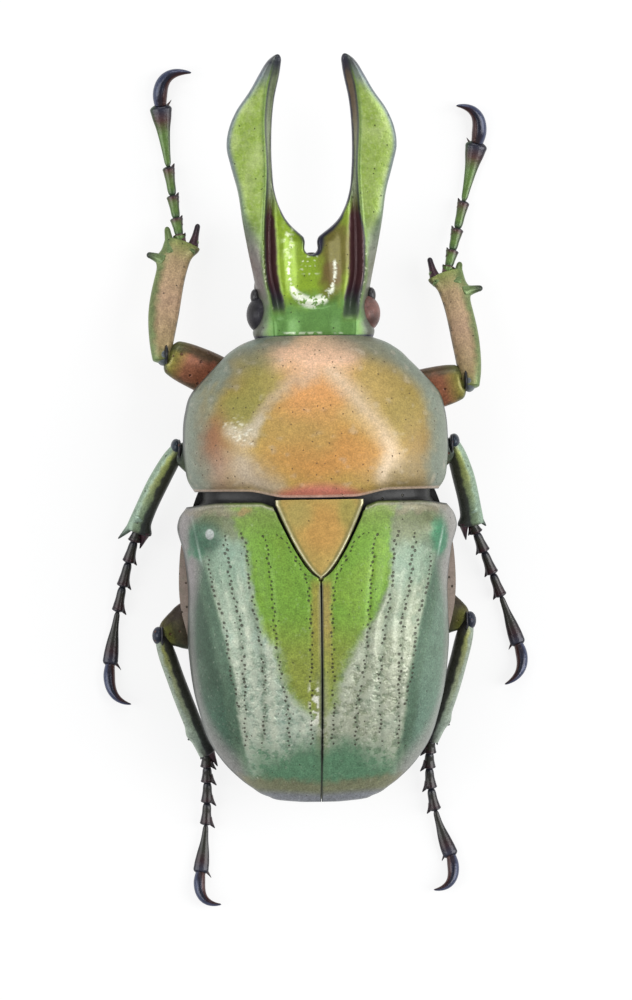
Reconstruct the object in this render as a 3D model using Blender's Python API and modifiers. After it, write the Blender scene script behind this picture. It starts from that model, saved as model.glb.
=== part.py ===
# Male Narycius opalus, a horned flower beetle, as a set museum specimen at life size.
#
# Body frame: the head looks along -Y, the beetle's own left is +X, and +Z is up.
# Y = 0 is the base of the pronotum and Z = 0 is the floor that the claws stand on.
# Sizes and places are in millimetres until a part is finished, because Blender's mesh
# tools are more exact on numbers near 1. finish() writes each mesh in metres.

import math
from bisect import bisect_right

import bmesh
import bpy
import numpy as np
from mathutils import Matrix, Vector
from mathutils.bvhtree import BVHTree

MM = 0.001

# Driving dimensions
BODY_LENGTH = 32.0          # horn tips to the end of the elytra
HORN_TIP_Y = -18.94
ELYTRA_END_Y = HORN_TIP_Y + BODY_LENGTH - 0.1
GAP = 0.2                   # between neighbouring plates and joints
SHELL = 0.5                 # thickness of an elytron
LEFT = 1
RIGHT = -1
UP = Vector((0, 0, 1))

# Pronotum, along Y
PRONOTUM_FRONT_Y = -6.92
PRONOTUM_HALF_WIDTH = [(-6.92, 2.65), (-6.3, 3.5), (-5.3, 4.74), (-4.3, 5.5), (-3.0, 5.72), (-1.2, 5.61),
                       (0.0, 5.3)]
PRONOTUM_TOP = [(-6.92, 5.5), (-6.3, 6.1), (-5.0, 6.8), (-3.0, 7.4), (-1.0, 7.6), (0.0, 7.45)]
PRONOTUM_MARGIN = [(-6.92, 4.3), (-5.0, 3.95), (-3.0, 3.8), (-1.0, 4.2), (0.0, 4.45)]
PRONOTUM_UNDER = [(-6.92, 2.9), (-5.0, 2.4), (-2.0, 2.35), (0.0, 2.7)]
PRONOTUM_ROUNDNESS = 2.3    # superellipse power of the cross section
PRONOTUM_BASE_BOW = 0.34    # how far the base runs forward at its sides
PRONOTUM_FRONT_BOW = 0.30   # how far the front edge runs back at its sides

# Elytra, along Y
ELYTRA_FRONT_Y = 0.25
ELYTRA_HALF_WIDTH = [(0.25, 5.55), (0.6, 5.82), (1.0, 5.95), (2.2, 5.72), (3.4, 5.57), (6.5, 5.55),
                     (8.8, 5.2), (10.75, 4.44), (11.7, 3.62), (12.3, 2.78), (12.7, 1.95), (12.96, 0.95)]
ELYTRA_TOP = [(0.25, 7.25), (2.0, 7.5), (5.0, 7.55), (8.0, 7.1), (10.0, 6.35), (11.5, 5.45),
              (12.5, 4.75), (12.96, 4.3)]
ELYTRA_MARGIN = [(0.25, 4.3), (3.0, 3.95), (8.0, 3.75), (11.0, 3.75), (12.96, 3.95)]
ELYTRA_ROUNDNESS = 2.5

# Scutellum: a long triangle between the bases of the elytra
SCUTELLUM_BASE_Y = 0.25
SCUTELLUM_TIP_Y = 3.4
SCUTELLUM_HALF_WIDTH = 1.9
SCUTELLUM_THICKNESS = 0.7

# Head and horns, along Y. The carina is the raised line between the disc and the outer face.
HEAD_BACK_Y = -7.13
HEAD_FRONT_Y = -11.1
HORN_ROOT_Y = HEAD_FRONT_Y - GAP
OUTER_EDGE = [(-18.94, 1.62), (-18.5, 1.98), (-18.1, 2.22), (-17.4, 2.62), (-16.5, 3.23), (-15.7, 3.55),
              (-15.0, 3.63), (-14.2, 3.46), (-13.1, 3.17), (-11.8, 2.98), (-10.5, 2.72), (-9.3, 2.45),
              (-8.6, 2.32), (-7.13, 2.4)]
INNER_EDGE = [(-18.94, 1.24), (-18.2, 1.34), (-17.0, 1.59), (-15.2, 1.72), (-14.0, 1.69), (-13.1, 1.6),
              (-12.3, 1.34), (-11.85, 1.08), (-11.5, 0.75), (-11.3, 0.55)]
CARINA = [(-18.94, 1.5), (-17.8, 1.87), (-16.5, 2.05), (-14.0, 2.0), (-11.0, 2.0), (-9.3, 1.92),
          (-8.4, 1.72), (-7.13, 1.6)]
HEAD_TOP = [(-18.94, 5.9), (-17.0, 5.5), (-14.0, 4.95), (-11.1, 4.6), (-9.0, 4.65), (-7.13, 5.1)]
HEAD_UNDER = [(-18.94, 5.5), (-17.0, 4.9), (-14.0, 4.25), (-11.1, 3.75), (-9.5, 3.2), (-8.4, 2.95),
              (-7.13, 3.0)]
CREST_HEIGHT = [(-18.94, 0.02), (-17.0, 0.14), (-12.0, 0.24), (-8.4, 0.3), (-7.13, 0.05)]
GROOVE_DEPTH = [(-18.94, 0.0), (-17.0, 0.08), (-12.0, 0.3), (-8.6, 0.4), (-7.13, 0.05)]
NOTCH_HALF_WIDTH = 0.36
NOTCH_BOTTOM_Y = -10.37

# Eyes
EYE_CENTRE = Vector((2.28, -7.8, 4.15))
EYE_RADII = Vector((0.6, 0.72, 0.78))

# Underside of the body, along Y
THORAX_FRONT_Y = 0.4
THORAX_BACK_Y = 5.9
THORAX_SIDE = [(0.4, 5.1), (1.5, 5.7), (3.0, 5.92), (4.5, 5.92), (5.9, 5.6)]
THORAX_UNDER = [(0.4, 2.9), (1.2, 2.5), (2.0, 1.5), (3.5, 1.3), (5.9, 1.4)]
ABDOMEN_FRONT_Y = THORAX_BACK_Y + GAP
ABDOMEN_BACK_Y = 11.7
ABDOMEN_UNDER = [(6.1, 1.45), (8.0, 1.5), (10.0, 1.9), (11.7, 2.5)]
STERNITES = 5
STERNITE_GROOVE = 0.09
PYGIDIUM_RADII = Vector((2.7, 0.95, 1.05))
PYGIDIUM_Z = 2.9

# Legs. Places are hip, knee, ankle, toe and claw tip. "bend" points pull a stretch aside,
# teeth are (share of the tibia's length, length, lean forward), and blunt is their tips' radius.
FEMUR_HEIGHT = 0.5
LEGS = {
    "front_left": {
        "hip": (2.1, -4.3, 1.85), "knee": (6.3, -6.25, 2.7), "ankle": (5.6, -10.95, 1.25),
        "toe_bend": (6.4, -13.3, 0.24), "toe": (6.42, -16.85, 0.25),
        "claw_bend": (6.75, -18.25, 0.22), "claw_tip": (5.1, -18.15, 0.12),
        "femur_width": 0.88, "tibia_bow": 0.22, "tibia_widths": (0.46, 0.64, 0.64, 0.76),
        "teeth": ((0.80, 0.55, 0.25), (0.97, 0.58, 1.6)), "spur": 0.62, "blunt": 0.12,
    },
    "front_right": {
        "hip": (-2.1, -3.9, 1.85), "knee": (-6.45, -4.95, 2.7), "ankle": (-5.62, -9.45, 1.25),
        "toe_bend": (-6.4, -12.0, 0.24), "toe": (-7.1, -15.1, 0.25),
        "claw_bend": (-7.55, -16.5, 0.22), "claw_tip": (-6.22, -16.73, 0.12),
        "femur_width": 0.88, "tibia_bow": 0.22, "tibia_widths": (0.46, 0.6, 0.62, 0.74),
        "teeth": ((0.82, 0.6, 0.1), (0.97, 0.55, 1.6)), "spur": 0.66, "blunt": 0.12,
    },
    "middle_left": {
        "hip": (1.9, 0.9, 1.6), "knee": (5.8, -2.2, 2.5), "ankle": (7.6, 1.35, 1.1),
        "toe_bend": (8.45, 4.1, 0.24), "toe": (8.8, 7.1, 0.25),
        "claw_bend": (9.05, 8.5, 0.22), "claw_tip": (7.92, 8.7, 0.12),
        "femur_width": 0.62, "tibia_bow": 0.12, "tibia_widths": (0.36, 0.42, 0.44, 0.48),
        "teeth": ((0.95, 0.5, 0.9),), "spur": 0.6, "blunt": 0.04,
    },
    "middle_right": {
        "hip": (-1.9, 0.9, 1.6), "knee": (-5.9, -2.25, 2.5), "ankle": (-6.8, 1.25, 1.1),
        "toe_bend": (-7.9, 3.9, 0.24), "toe": (-8.75, 6.5, 0.25),
        "claw_bend": (-9.2, 7.6, 0.22), "claw_tip": (-8.1, 8.1, 0.12),
        "femur_width": 0.62, "tibia_bow": 0.12, "tibia_widths": (0.36, 0.44, 0.45, 0.48),
        "teeth": ((0.95, 0.5, 0.9),), "spur": 0.6, "blunt": 0.04,
    },
    "hind_left": {
        "hip": (2.2, 6.5, 1.05), "knee": (6.65, 5.8, 2.2), "ankle": (4.72, 10.95, 1.1),
        "toe_bend": (4.6, 13.3, 0.24), "toe": (5.07, 16.05, 0.25),
        "claw_bend": (5.35, 17.35, 0.22), "claw_tip": (4.2, 17.32, 0.12),
        "femur_width": 0.85, "tibia_bow": 0.08, "tibia_widths": (0.4, 0.43, 0.43, 0.45),
        "teeth": ((0.82, 0.3, 1.4), (0.97, 0.3, 1.4)), "spur": 0.6, "blunt": 0.04,
    },
    "hind_right": {
        "hip": (-2.2, 6.2, 1.05), "knee": (-6.45, 5.35, 2.2), "ankle": (-4.85, 10.5, 1.1),
        "toe_bend": (-4.5, 12.6, 0.24), "toe": (-5.74, 15.5, 0.25),
        "claw_bend": (-6.05, 16.75, 0.22), "claw_tip": (-4.92, 16.85, 0.12),
        "femur_width": 0.85, "tibia_bow": 0.15, "tibia_widths": (0.4, 0.43, 0.43, 0.45),
        "teeth": ((0.82, 0.3, 1.4), (0.97, 0.3, 1.4)), "spur": 0.6, "blunt": 0.04,
    },
}
TARSOMERES = (0.13, 0.15, 0.17, 0.2, 0.35)      # shares of a tarsus, from the tibia to the claws
TARSUS_HALF_WIDTH = 0.27
TARSUS_POINTS = 41          # along the middle line of a tarsus
TIBIA_POINTS = 8
CLAW_RADII = (0.27, 0.27, 0.25, 0.22, 0.19, 0.15, 0.1, 0.05)
UPPER_CLAW_SIZE = 0.86       # of the lower claw's radii
UPPER_CLAW_RISE = 0.55


def smooth_curve(points):
    """A function of y that runs smoothly through the points."""
    places = [p[0] for p in points]
    values = [p[1] for p in points]
    slopes = np.gradient(values, places)

    def value(y):
        y = min(max(y, places[0]), places[-1])
        i = min(bisect_right(places, y), len(places) - 1) - 1
        span = places[i + 1] - places[i]
        t = (y - places[i]) / span
        rise = values[i + 1] - values[i]
        start = slopes[i] * span
        end = slopes[i + 1] * span
        cubic = start + end - 2 * rise
        square = 3 * rise - 2 * start - end
        return float(values[i] + t * (start + t * (square + t * cubic)))

    return value


pronotum_half_width = smooth_curve(PRONOTUM_HALF_WIDTH)
pronotum_top = smooth_curve(PRONOTUM_TOP)
pronotum_margin = smooth_curve(PRONOTUM_MARGIN)
pronotum_under = smooth_curve(PRONOTUM_UNDER)
elytra_half_width = smooth_curve(ELYTRA_HALF_WIDTH)
elytra_top = smooth_curve(ELYTRA_TOP)
elytra_margin = smooth_curve(ELYTRA_MARGIN)
outer_edge = smooth_curve(OUTER_EDGE)
inner_edge = smooth_curve(INNER_EDGE)
carina = smooth_curve(CARINA)
head_top = smooth_curve(HEAD_TOP)
head_under = smooth_curve(HEAD_UNDER)
crest_height = smooth_curve(CREST_HEIGHT)
groove_depth = smooth_curve(GROOVE_DEPTH)
thorax_side = smooth_curve(THORAX_SIDE)
thorax_under = smooth_curve(THORAX_UNDER)
abdomen_under = smooth_curve(ABDOMEN_UNDER)


def stations(start, end, count):
    return [start + (end - start) * i / (count - 1) for i in range(count)]


# Scene, materials and finished parts

def clear_scene():
    for thing in list(bpy.data.objects):
        bpy.data.objects.remove(thing, do_unlink=True)


def principled(name, colour, roughness, metallic):
    material = bpy.data.materials.new(name)
    material.use_nodes = True
    shader = material.node_tree.nodes["Principled BSDF"]
    shader.inputs["Base Color"].default_value = (*colour, 1.0)
    shader.inputs["Roughness"].default_value = roughness
    shader.inputs["Metallic"].default_value = metallic
    return material


def finish(part, material):
    """Scales a part's mesh to metres, shades it and files it with the beetle."""
    part.data.transform(Matrix.Scale(MM, 4))
    part.data.shade_smooth()
    part.data.set_sharp_from_angle(angle=math.radians(40))
    part.data.materials.clear()
    part.data.materials.append(material)
    for collection in list(part.users_collection):
        collection.objects.unlink(part)
    beetle.objects.link(part)
    part.parent = root
    return part


def new_part(name, mesh_tool):
    """An object from a bmesh, which is freed."""
    mesh = bpy.data.meshes.new(name)
    bmesh.ops.recalc_face_normals(mesh_tool, faces=mesh_tool.faces)
    if mesh_tool.calc_volume(signed=True) < 0:
        bmesh.ops.reverse_faces(mesh_tool, faces=mesh_tool.faces)
    mesh_tool.to_mesh(mesh)
    mesh_tool.free()
    part = bpy.data.objects.new(name, mesh)
    bpy.context.scene.collection.objects.link(part)
    return part


# Shapes

def loft(name, rings):
    """A closed body through loops of points, with a flat cap at each end."""
    body = bmesh.new()
    loops = [[body.verts.new(point) for point in ring] for ring in rings]
    count = len(loops[0])
    for near, far in zip(loops, loops[1:]):
        for i in range(count):
            j = (i + 1) % count
            body.faces.new((near[i], near[j], far[j], far[i]))
    body.faces.new(loops[0])
    body.faces.new(loops[-1])
    return new_part(name, body)


def limb_ring(centre, forward, side, half_width, half_height, sides):
    """An oval loop square to forward, half_width along side."""
    forward = forward.normalized()
    across = (side - forward * side.dot(forward)).normalized()
    up = forward.cross(across)
    ring = []
    for i in range(sides):
        angle = 2 * math.pi * i / sides
        width, height = half_width * math.cos(angle), half_height * math.sin(angle)
        ring.append(centre + across * width + up * height)
    return ring


def limb(name, path, half_widths, half_heights, sides=10, side=Vector((1, 0, 0))):
    """A tube along a path with an oval section at each of its points."""
    rings = []
    for i, centre in enumerate(path):
        forward = path[min(i + 1, len(path) - 1)] - path[max(i - 1, 0)]
        rings.append(limb_ring(centre, forward, side, half_widths[i], half_heights[i], sides))
    return loft(name, rings)


def bent_path(start, bend, end, count):
    """Points along a quadratic curve that leans towards bend."""
    points = []
    for t in stations(0.0, 1.0, count):
        points.append(start * (1 - t) ** 2 + bend * (2 * t * (1 - t)) + end * t ** 2)
    return points


def spine(root_point, tip, radius, sides=5, tip_radius=0.04):
    """A tapered spine from root_point to tip."""
    axis = tip - root_point
    body = bmesh.new()
    place = Matrix.Translation((root_point + tip) / 2) @ axis.to_track_quat("Z", "Y").to_matrix().to_4x4()
    bmesh.ops.create_cone(body, cap_ends=True, segments=sides, radius1=radius, radius2=tip_radius,
                          depth=axis.length, matrix=place)
    return new_part("spine", body)


def ellipsoid(name, centre, radii, segments=14, rings=9, turn=None):
    body = bmesh.new()
    place = Matrix.Translation(centre) @ (turn or Matrix.Identity(4)) @ Matrix.Diagonal((*radii, 1.0))
    bmesh.ops.create_uvsphere(body, u_segments=segments, v_segments=rings, radius=1.0, matrix=place)
    return new_part(name, body)


def drop_slivers(body, merge):
    """Joins points nearer than merge, so that no face is thinner than that."""
    bmesh.ops.remove_doubles(body, verts=body.verts, dist=merge)
    bmesh.ops.dissolve_degenerate(body, edges=body.edges, dist=merge)
    bmesh.ops.triangulate(body, faces=body.faces)


def is_sound(body):
    """Whether a mesh is closed and none of its faces cut through one another."""
    if not body.faces or not all(edge.is_manifold for edge in body.edges):
        return False
    body.faces.ensure_lookup_table()
    tree = BVHTree.FromBMesh(body)
    for first, second in tree.overlap(tree):
        shared = set(body.faces[first].verts) & set(body.faces[second].verts)
        if not shared:
            return False
    return True


def largest_piece(mesh, merge):
    """The largest surface of a mesh, with points nearer than merge joined."""
    body = bmesh.new()
    body.from_mesh(mesh)
    unseen = set(body.verts)
    pieces = []
    while unseen:
        front = [unseen.pop()]
        piece = list(front)
        while front:
            vertex = front.pop()
            for edge in vertex.link_edges:
                other = edge.other_vert(vertex)
                if other in unseen:
                    unseen.discard(other)
                    front.append(other)
                    piece.append(other)
        pieces.append(piece)
    pieces.sort(key=len)
    for piece in pieces[:-1]:
        bmesh.ops.delete(body, geom=piece, context="VERTS")
    drop_slivers(body, merge)
    return body


def combine(part, others, operation):
    """One Boolean of part with all the others, applied, after which the others are gone."""
    group = bpy.data.collections.new("pieces")
    bpy.context.scene.collection.children.link(group)
    for other in others:
        bpy.context.scene.collection.objects.unlink(other)
        group.objects.link(other)
    modifier = part.modifiers.new("combine", "BOOLEAN")
    modifier.operation = operation
    modifier.operand_type = "COLLECTION"
    modifier.collection = group
    tries = [(solver, merge) for merge in (0.01, 0.003, 0.0002) for solver in ("EXACT", "MANIFOLD")]
    for solver, merge in tries:
        modifier.solver = solver
        bpy.context.view_layer.update()
        seen = part.evaluated_get(bpy.context.evaluated_depsgraph_get())
        result = bpy.data.meshes.new_from_object(seen)
        body = largest_piece(result, merge)
        sound = is_sound(body)
        body.to_mesh(result)
        body.free()
        if sound:
            break
    part.data = result
    part.modifiers.clear()
    for other in others:
        bpy.data.objects.remove(other, do_unlink=True)
    bpy.data.collections.remove(group)


def join(part, others):
    combine(part, others, "UNION")


def cut(part, cutters):
    combine(part, cutters, "DIFFERENCE")


def stand_on_floor(part):
    """Cuts a small flat where the part would reach below the floor."""
    body = bmesh.new()
    body.from_mesh(part.data)
    everything = list(body.verts) + list(body.edges) + list(body.faces)
    found = bmesh.ops.bisect_plane(body, geom=everything, plane_co=(0, 0, 0), plane_no=(0, 0, -1),
                                   clear_outer=True)
    rim = [item for item in found["geom_cut"] if isinstance(item, bmesh.types.BMEdge)]
    if rim:
        bmesh.ops.holes_fill(body, edges=rim)
    drop_slivers(body, 0.01)
    bmesh.ops.recalc_face_normals(body, faces=body.faces)
    body.to_mesh(part.data)
    body.free()


# Head, horns and what the head carries

def head_half(y):
    """Points of one side of the head's section, from the middle of its top down to the middle below."""
    top, under, rim, edge = head_top(y), head_under(y), carina(y), outer_edge(y)
    disc = rim - 0.42
    return [
        (0.0, top - 0.12),
        (disc * 0.55, top - 0.1),
        (disc, top + 0.02),
        (rim - 0.17, top - groove_depth(y)),
        (rim + 0.04, top + crest_height(y)),
        ((rim + edge) / 2, top - 0.05),
        (edge, top - 0.42),
        (edge - 0.12, under * 0.55 + top * 0.45 - 0.25),
        (edge * 0.62, under + 0.12),
        (0.0, under),
    ]


def make_head():
    rings = []
    for y in stations(HEAD_BACK_Y, HEAD_FRONT_Y, 9):
        half = head_half(y)
        left = [Vector((x, y, z)) for x, z in half]
        right = [Vector((-x, y, z)) for x, z in reversed(half[1:-1])]
        rings.append(left + right)
    head = loft("head", rings)
    cutters = []
    for side in (LEFT, RIGHT):
        centre = Vector((side * EYE_CENTRE.x, EYE_CENTRE.y, EYE_CENTRE.z))
        room = EYE_RADII + Vector((GAP, GAP, GAP)) * 0.75
        cutters.append(ellipsoid("eye_room", centre, room))
    notch = bmesh.new()
    notch_depth = 3.0
    middle = Vector((0, NOTCH_BOTTOM_Y - NOTCH_HALF_WIDTH, 4.2))
    bmesh.ops.create_cone(notch, cap_ends=True, segments=20, radius1=NOTCH_HALF_WIDTH,
                          radius2=NOTCH_HALF_WIDTH, depth=notch_depth, matrix=Matrix.Translation(middle))
    cutters.append(new_part("notch_end", notch))
    slot = bmesh.new()
    slot_length = 1.0
    place = Matrix.Translation(middle - Vector((0, slot_length / 2, 0)))
    size = Matrix.Diagonal((2 * NOTCH_HALF_WIDTH, slot_length, notch_depth * 0.9, 1.0))
    bmesh.ops.create_cube(slot, size=1.0, matrix=place @ size)
    cutters.append(new_part("notch_slot", slot))
    cut(head, cutters)
    return head


def horn_section(y, side):
    """The horn's section: a thick inner strip, the carina, and the thin outer blade."""
    top, under = head_top(y), head_under(y)
    inside, rim, edge = inner_edge(y), carina(y), outer_edge(y)
    middle = (top + under) / 2
    strip, blade = rim - inside, edge - rim
    points = [
        (inside, middle),
        (inside + 0.15 * strip, top - 0.1),
        (rim - 0.3 * strip, top - groove_depth(y)),
        (rim + 0.05 * blade, top + crest_height(y)),
        (rim + 0.45 * blade, top + 0.06),
        (edge - 0.12 * blade, top - 0.1),
        (edge, middle + 0.02),
        (edge - 0.14 * blade, middle - 0.18),
        (rim + 0.4 * blade, under + 0.06),
        (rim, under - 0.04),
        (inside + 0.2 * strip, under + 0.02),
    ]
    return [Vector((side * x, y, z)) for x, z in points]


def make_horn(name, side):
    rows = stations(HORN_ROOT_Y, HORN_TIP_Y + 0.35, 15) + [HORN_TIP_Y + 0.12, HORN_TIP_Y]
    rings = [horn_section(y, side) for y in rows]
    middle = sum(rings[-1], Vector()) / len(rings[-1])
    rings[-1] = [middle + (point - middle) * 0.6 for point in rings[-1]]
    return loft(name, rings)


def make_antenna(name, side):
    """Scape at the eye, six small joints under the head, and the club of three leaves."""
    scape = [Vector((side * x, y, z)) for x, y, z in
             ((2.18, -8.95, 2.9), (2.3, -9.2, 2.85), (2.2, -9.55, 2.8), (2.0, -9.8, 2.78))]
    part = limb(name, scape, (0.25, 0.28, 0.28, 0.2), (0.25, 0.28, 0.28, 0.2), sides=7)
    bead_start, bead_end = scape[-1], Vector((side * 1.3, -10.7, 2.85))
    pieces = []
    for t in stations(0.12, 1.0, 5):
        pieces.append(ellipsoid("bead", bead_start.lerp(bead_end, t), (0.25, 0.22, 0.25), 7, 5))
    for leaf in (-1, 0, 1):
        centre = bead_end + Vector((side * -0.05 + 0.17 * leaf, -0.6, 0.05))
        pieces.append(ellipsoid("leaf", centre, (0.14, 0.72, 0.27), 6, 6))
    join(part, pieces)
    return part


def make_mouthparts():
    """The hairy labium and maxillae that fill the mouth under the clypeus, with a pair of palps."""
    mouth = ellipsoid("mouthparts", Vector((0, -9.35, 2.55)), (0.95, 1.15, 0.35), 14, 9)
    palps = []
    for side in (LEFT, RIGHT):
        joints = ((0.45, -9.9, 2.55), (0.62, -10.4, 2.5), (0.55, -10.95, 2.6))
        path = [Vector((side * x, y, z)) for x, y, z in joints]
        palps.append(limb("palp", path, (0.22, 0.25, 0.15), (0.22, 0.25, 0.15), sides=7))
    join(mouth, palps)
    return mouth


# Plates of the back

def dome_height(x, half_width, top, margin, roundness):
    """Height of a superellipse dome at x."""
    share = min(abs(x) / half_width, 1.0)
    return margin + (top - margin) * (1 - share ** roundness) ** (1 / roundness)


def make_pronotum():
    rings = []
    top_count, under_count = 17, 6
    for v in stations(0.0, 1.0, 15):
        y = PRONOTUM_FRONT_Y * (1 - v)
        width, top = pronotum_half_width(y), pronotum_top(y)
        margin, under = pronotum_margin(y), pronotum_under(y)
        ring = []
        for angle in stations(0.0, math.pi, top_count):
            x = width * math.copysign(abs(math.cos(angle)) ** 0.8, math.cos(angle))
            ring.append(Vector((x, y, dome_height(x, width, top, margin, PRONOTUM_ROUNDNESS))))
        for angle in stations(math.pi, 2 * math.pi, under_count + 2)[1:-1]:
            x = width * 0.93 * math.cos(angle)
            share = abs(x) / width
            ring.append(Vector((x, y, under + (margin - 0.25 - under) * share ** 2.2)))
        for point in ring:
            share = abs(point.x) / pronotum_half_width(-3.0)
            point.y += (PRONOTUM_FRONT_BOW * (1 - v) - PRONOTUM_BASE_BOW * v) * share ** 2
        rings.append(ring)
    pronotum = loft("pronotum", rings)
    cut(pronotum, [coxa_body(leg, GAP) for leg in ("front_left", "front_right")])
    return pronotum


def scutellum_edge(y):
    share = (y - SCUTELLUM_BASE_Y) / (SCUTELLUM_TIP_Y - SCUTELLUM_BASE_Y)
    return SCUTELLUM_HALF_WIDTH * max(1 - share, 0.0) ** 0.92


def make_scutellum():
    rings = []
    for y in stations(SCUTELLUM_BASE_Y, SCUTELLUM_TIP_Y - 0.08, 8):
        edge = scutellum_edge(y)
        rise = elytra_top(y) - 0.03
        floor = rise - SCUTELLUM_THICKNESS
        points = [(-edge, rise - 0.08), (-edge * 0.85, rise), (0, rise + 0.02), (edge * 0.85, rise),
                  (edge, rise - 0.08), (edge * 0.9, floor), (-edge * 0.9, floor)]
        rings.append([Vector((x, y, z)) for x, z in points])
    return loft("scutellum", rings)


def make_elytron(name, side):
    """A domed wing case: the outer surface as an open sheet, given its thickness inwards."""
    rows = [ELYTRA_FRONT_Y, 0.6, 1.0, 1.6, 2.3, 3.0, SCUTELLUM_TIP_Y + 0.25]
    rows += stations(4.6, 10.6, 7) + [11.3, 11.9, 12.35, 12.7, 12.86, ELYTRA_END_Y]
    columns = 11
    sheet = bmesh.new()
    grid = []
    for y in rows:
        width, top, margin = elytra_half_width(y), elytra_top(y), elytra_margin(y)
        start = max(GAP / 2, scutellum_edge(y) + GAP if y < SCUTELLUM_TIP_Y else 0.0)
        row = []
        for angle in stations(0.0, math.pi / 2, columns):
            x = start + (width - start) * math.sin(angle) ** 0.9
            z = dome_height(x, width, top, margin, ELYTRA_ROUNDNESS)
            row.append(sheet.verts.new((side * x, y, z)))
        grid.append(row)
    for near, far in zip(grid, grid[1:]):
        for i in range(columns - 1):
            corners = (near[i], near[i + 1], far[i + 1], far[i])
            sheet.faces.new(corners if side == LEFT else corners[::-1])
    sheet.normal_update()
    mesh = bpy.data.meshes.new(name)
    sheet.to_mesh(mesh)
    sheet.free()
    part = bpy.data.objects.new(name, mesh)
    bpy.context.scene.collection.objects.link(part)
    shell = part.modifiers.new("shell", "SOLIDIFY")
    shell.thickness = SHELL
    shell.offset = -1.0
    shell.thickness_clamp = 1.0
    bpy.context.view_layer.update()
    part.data = bpy.data.meshes.new_from_object(part.evaluated_get(bpy.context.evaluated_depsgraph_get()))
    part.modifiers.clear()
    return part


# Underside

def trunk_ring(y, side_reach, under, squeeze=0.0):
    """Section of the body under the elytra: a core, a shelf below the elytra's margin, and the keel."""
    core = elytra_half_width(y) - SHELL - 2 * GAP
    roof = elytra_top(y) - SHELL - 2 * GAP
    shelf = elytra_margin(y) - GAP
    reach = side_reach - squeeze
    keel = under + squeeze
    points = [
        (0.0, roof - 0.15),
        (core * 0.5, roof - 0.3),
        (core * 0.8, shelf + (roof - shelf) * 0.55),
        (core * 0.95, shelf + 0.3),
        (core * 0.97, shelf),
        (reach, shelf - 0.05),
        (reach - 0.1, shelf - 0.45),
        (side_reach * 0.72, keel + (shelf - under) * 0.42),
        (side_reach * 0.4, keel + 0.12),
        (0.0, keel),
    ]
    left = [Vector((x, y, z)) for x, z in points]
    right = [Vector((-x, y, z)) for x, z in reversed(points[1:-1])]
    return left + right


def make_thorax():
    rows = stations(THORAX_FRONT_Y, THORAX_BACK_Y, 10)
    thorax = loft("thorax", [trunk_ring(y, thorax_side(y), thorax_under(y)) for y in rows])
    plates = []
    for side in (LEFT, RIGHT):
        plates.append(ellipsoid("side_plate", Vector((side * 4.85, 0.5, 3.35)), (0.75, 0.75, 0.5), 10, 7))
    join(thorax, plates)
    sockets = [coxa_body(leg, GAP) for leg in ("middle_left", "middle_right", "hind_left", "hind_right")]
    cut(thorax, sockets)
    return thorax


def make_abdomen():
    """Five ringed sternites below, the soft back hidden by the elytra above."""
    rings = []
    plate = (ABDOMEN_BACK_Y - ABDOMEN_FRONT_Y) / STERNITES
    for i in range(STERNITES):
        start = ABDOMEN_FRONT_Y + i * plate
        for share, squeeze in ((0.0, STERNITE_GROOVE), (0.12, 0.0), (0.92, 0.0)):
            y = start + share * plate
            rings.append(trunk_ring(y, elytra_half_width(y) - 0.12, abdomen_under(y), squeeze))
    y = ABDOMEN_BACK_Y
    rings.append(trunk_ring(y, elytra_half_width(y) - 0.3, abdomen_under(y), STERNITE_GROOVE))
    abdomen = loft("abdomen", rings)
    cut(abdomen, [coxa_body(leg, GAP) for leg in ("hind_left", "hind_right")])
    return abdomen


def make_pygidium():
    """The last back plate, a low dome that closes the body below the ends of the elytra."""
    part = ellipsoid("pygidium", Vector((0, ABDOMEN_BACK_Y + GAP, PYGIDIUM_Z)), PYGIDIUM_RADII, 20, 12)
    body = bmesh.new()
    body.from_mesh(part.data)
    everything = list(body.verts) + list(body.edges) + list(body.faces)
    found = bmesh.ops.bisect_plane(body, geom=everything, plane_co=(0, ABDOMEN_BACK_Y + GAP, 0),
                                   plane_no=(0, -1, 0), clear_outer=True)
    rim = [item for item in found["geom_cut"] if isinstance(item, bmesh.types.BMEdge)]
    bmesh.ops.holes_fill(body, edges=rim)
    drop_slivers(body, 0.02)
    bmesh.ops.recalc_face_normals(body, faces=body.faces)
    body.to_mesh(part.data)
    body.free()
    return part


# Legs

def places(leg):
    """The leg's named points as vectors."""
    names = ("hip", "knee", "ankle", "toe_bend", "toe", "claw_bend", "claw_tip")
    return {name: Vector(LEGS[leg][name]) for name in names}


def coxa_body(leg, room=0.0):
    """The coxa, which sits in a socket of the body; with room it is that socket's cutter."""
    hip = Vector(LEGS[leg]["hip"])
    length = (abs(hip.x) - GAP) / 2
    centre = hip - Vector((math.copysign(length, hip.x), 0, -0.33))
    radii = Vector((length, 0.66, 0.6)) + Vector((room, room, room))
    return ellipsoid(leg + "_coxa", centre, radii, 12, 8)


def make_femur(leg):
    """A swollen thigh whose end is hollowed to take the root of the tibia."""
    at = places(leg)
    reach = at["knee"] - at["hip"]
    start = at["hip"] + reach.normalized() * GAP
    width = LEGS[leg]["femur_width"]
    shares = (0.0, 0.06, 0.2, 0.45, 0.7, 0.88, 0.97)
    swell = (0.35, 0.55, 0.8, 1.0, 0.98, 0.86, 0.68)
    path = [start.lerp(at["knee"], t) for t in shares]
    widths = [width * s for s in swell]
    heights = [FEMUR_HEIGHT * max(s, 0.55) for s in swell]
    side = Vector((-reach.y, reach.x, 0))
    femur = limb(leg + "_femur", path, widths, heights, 10, side)
    tibia = tibia_form(leg)
    root_path = tibia["path"][:4]
    cut(femur, [room_along("knee_room", root_path, tibia["widths"], tibia["heights"], tibia["side"])])
    return femur


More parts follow.
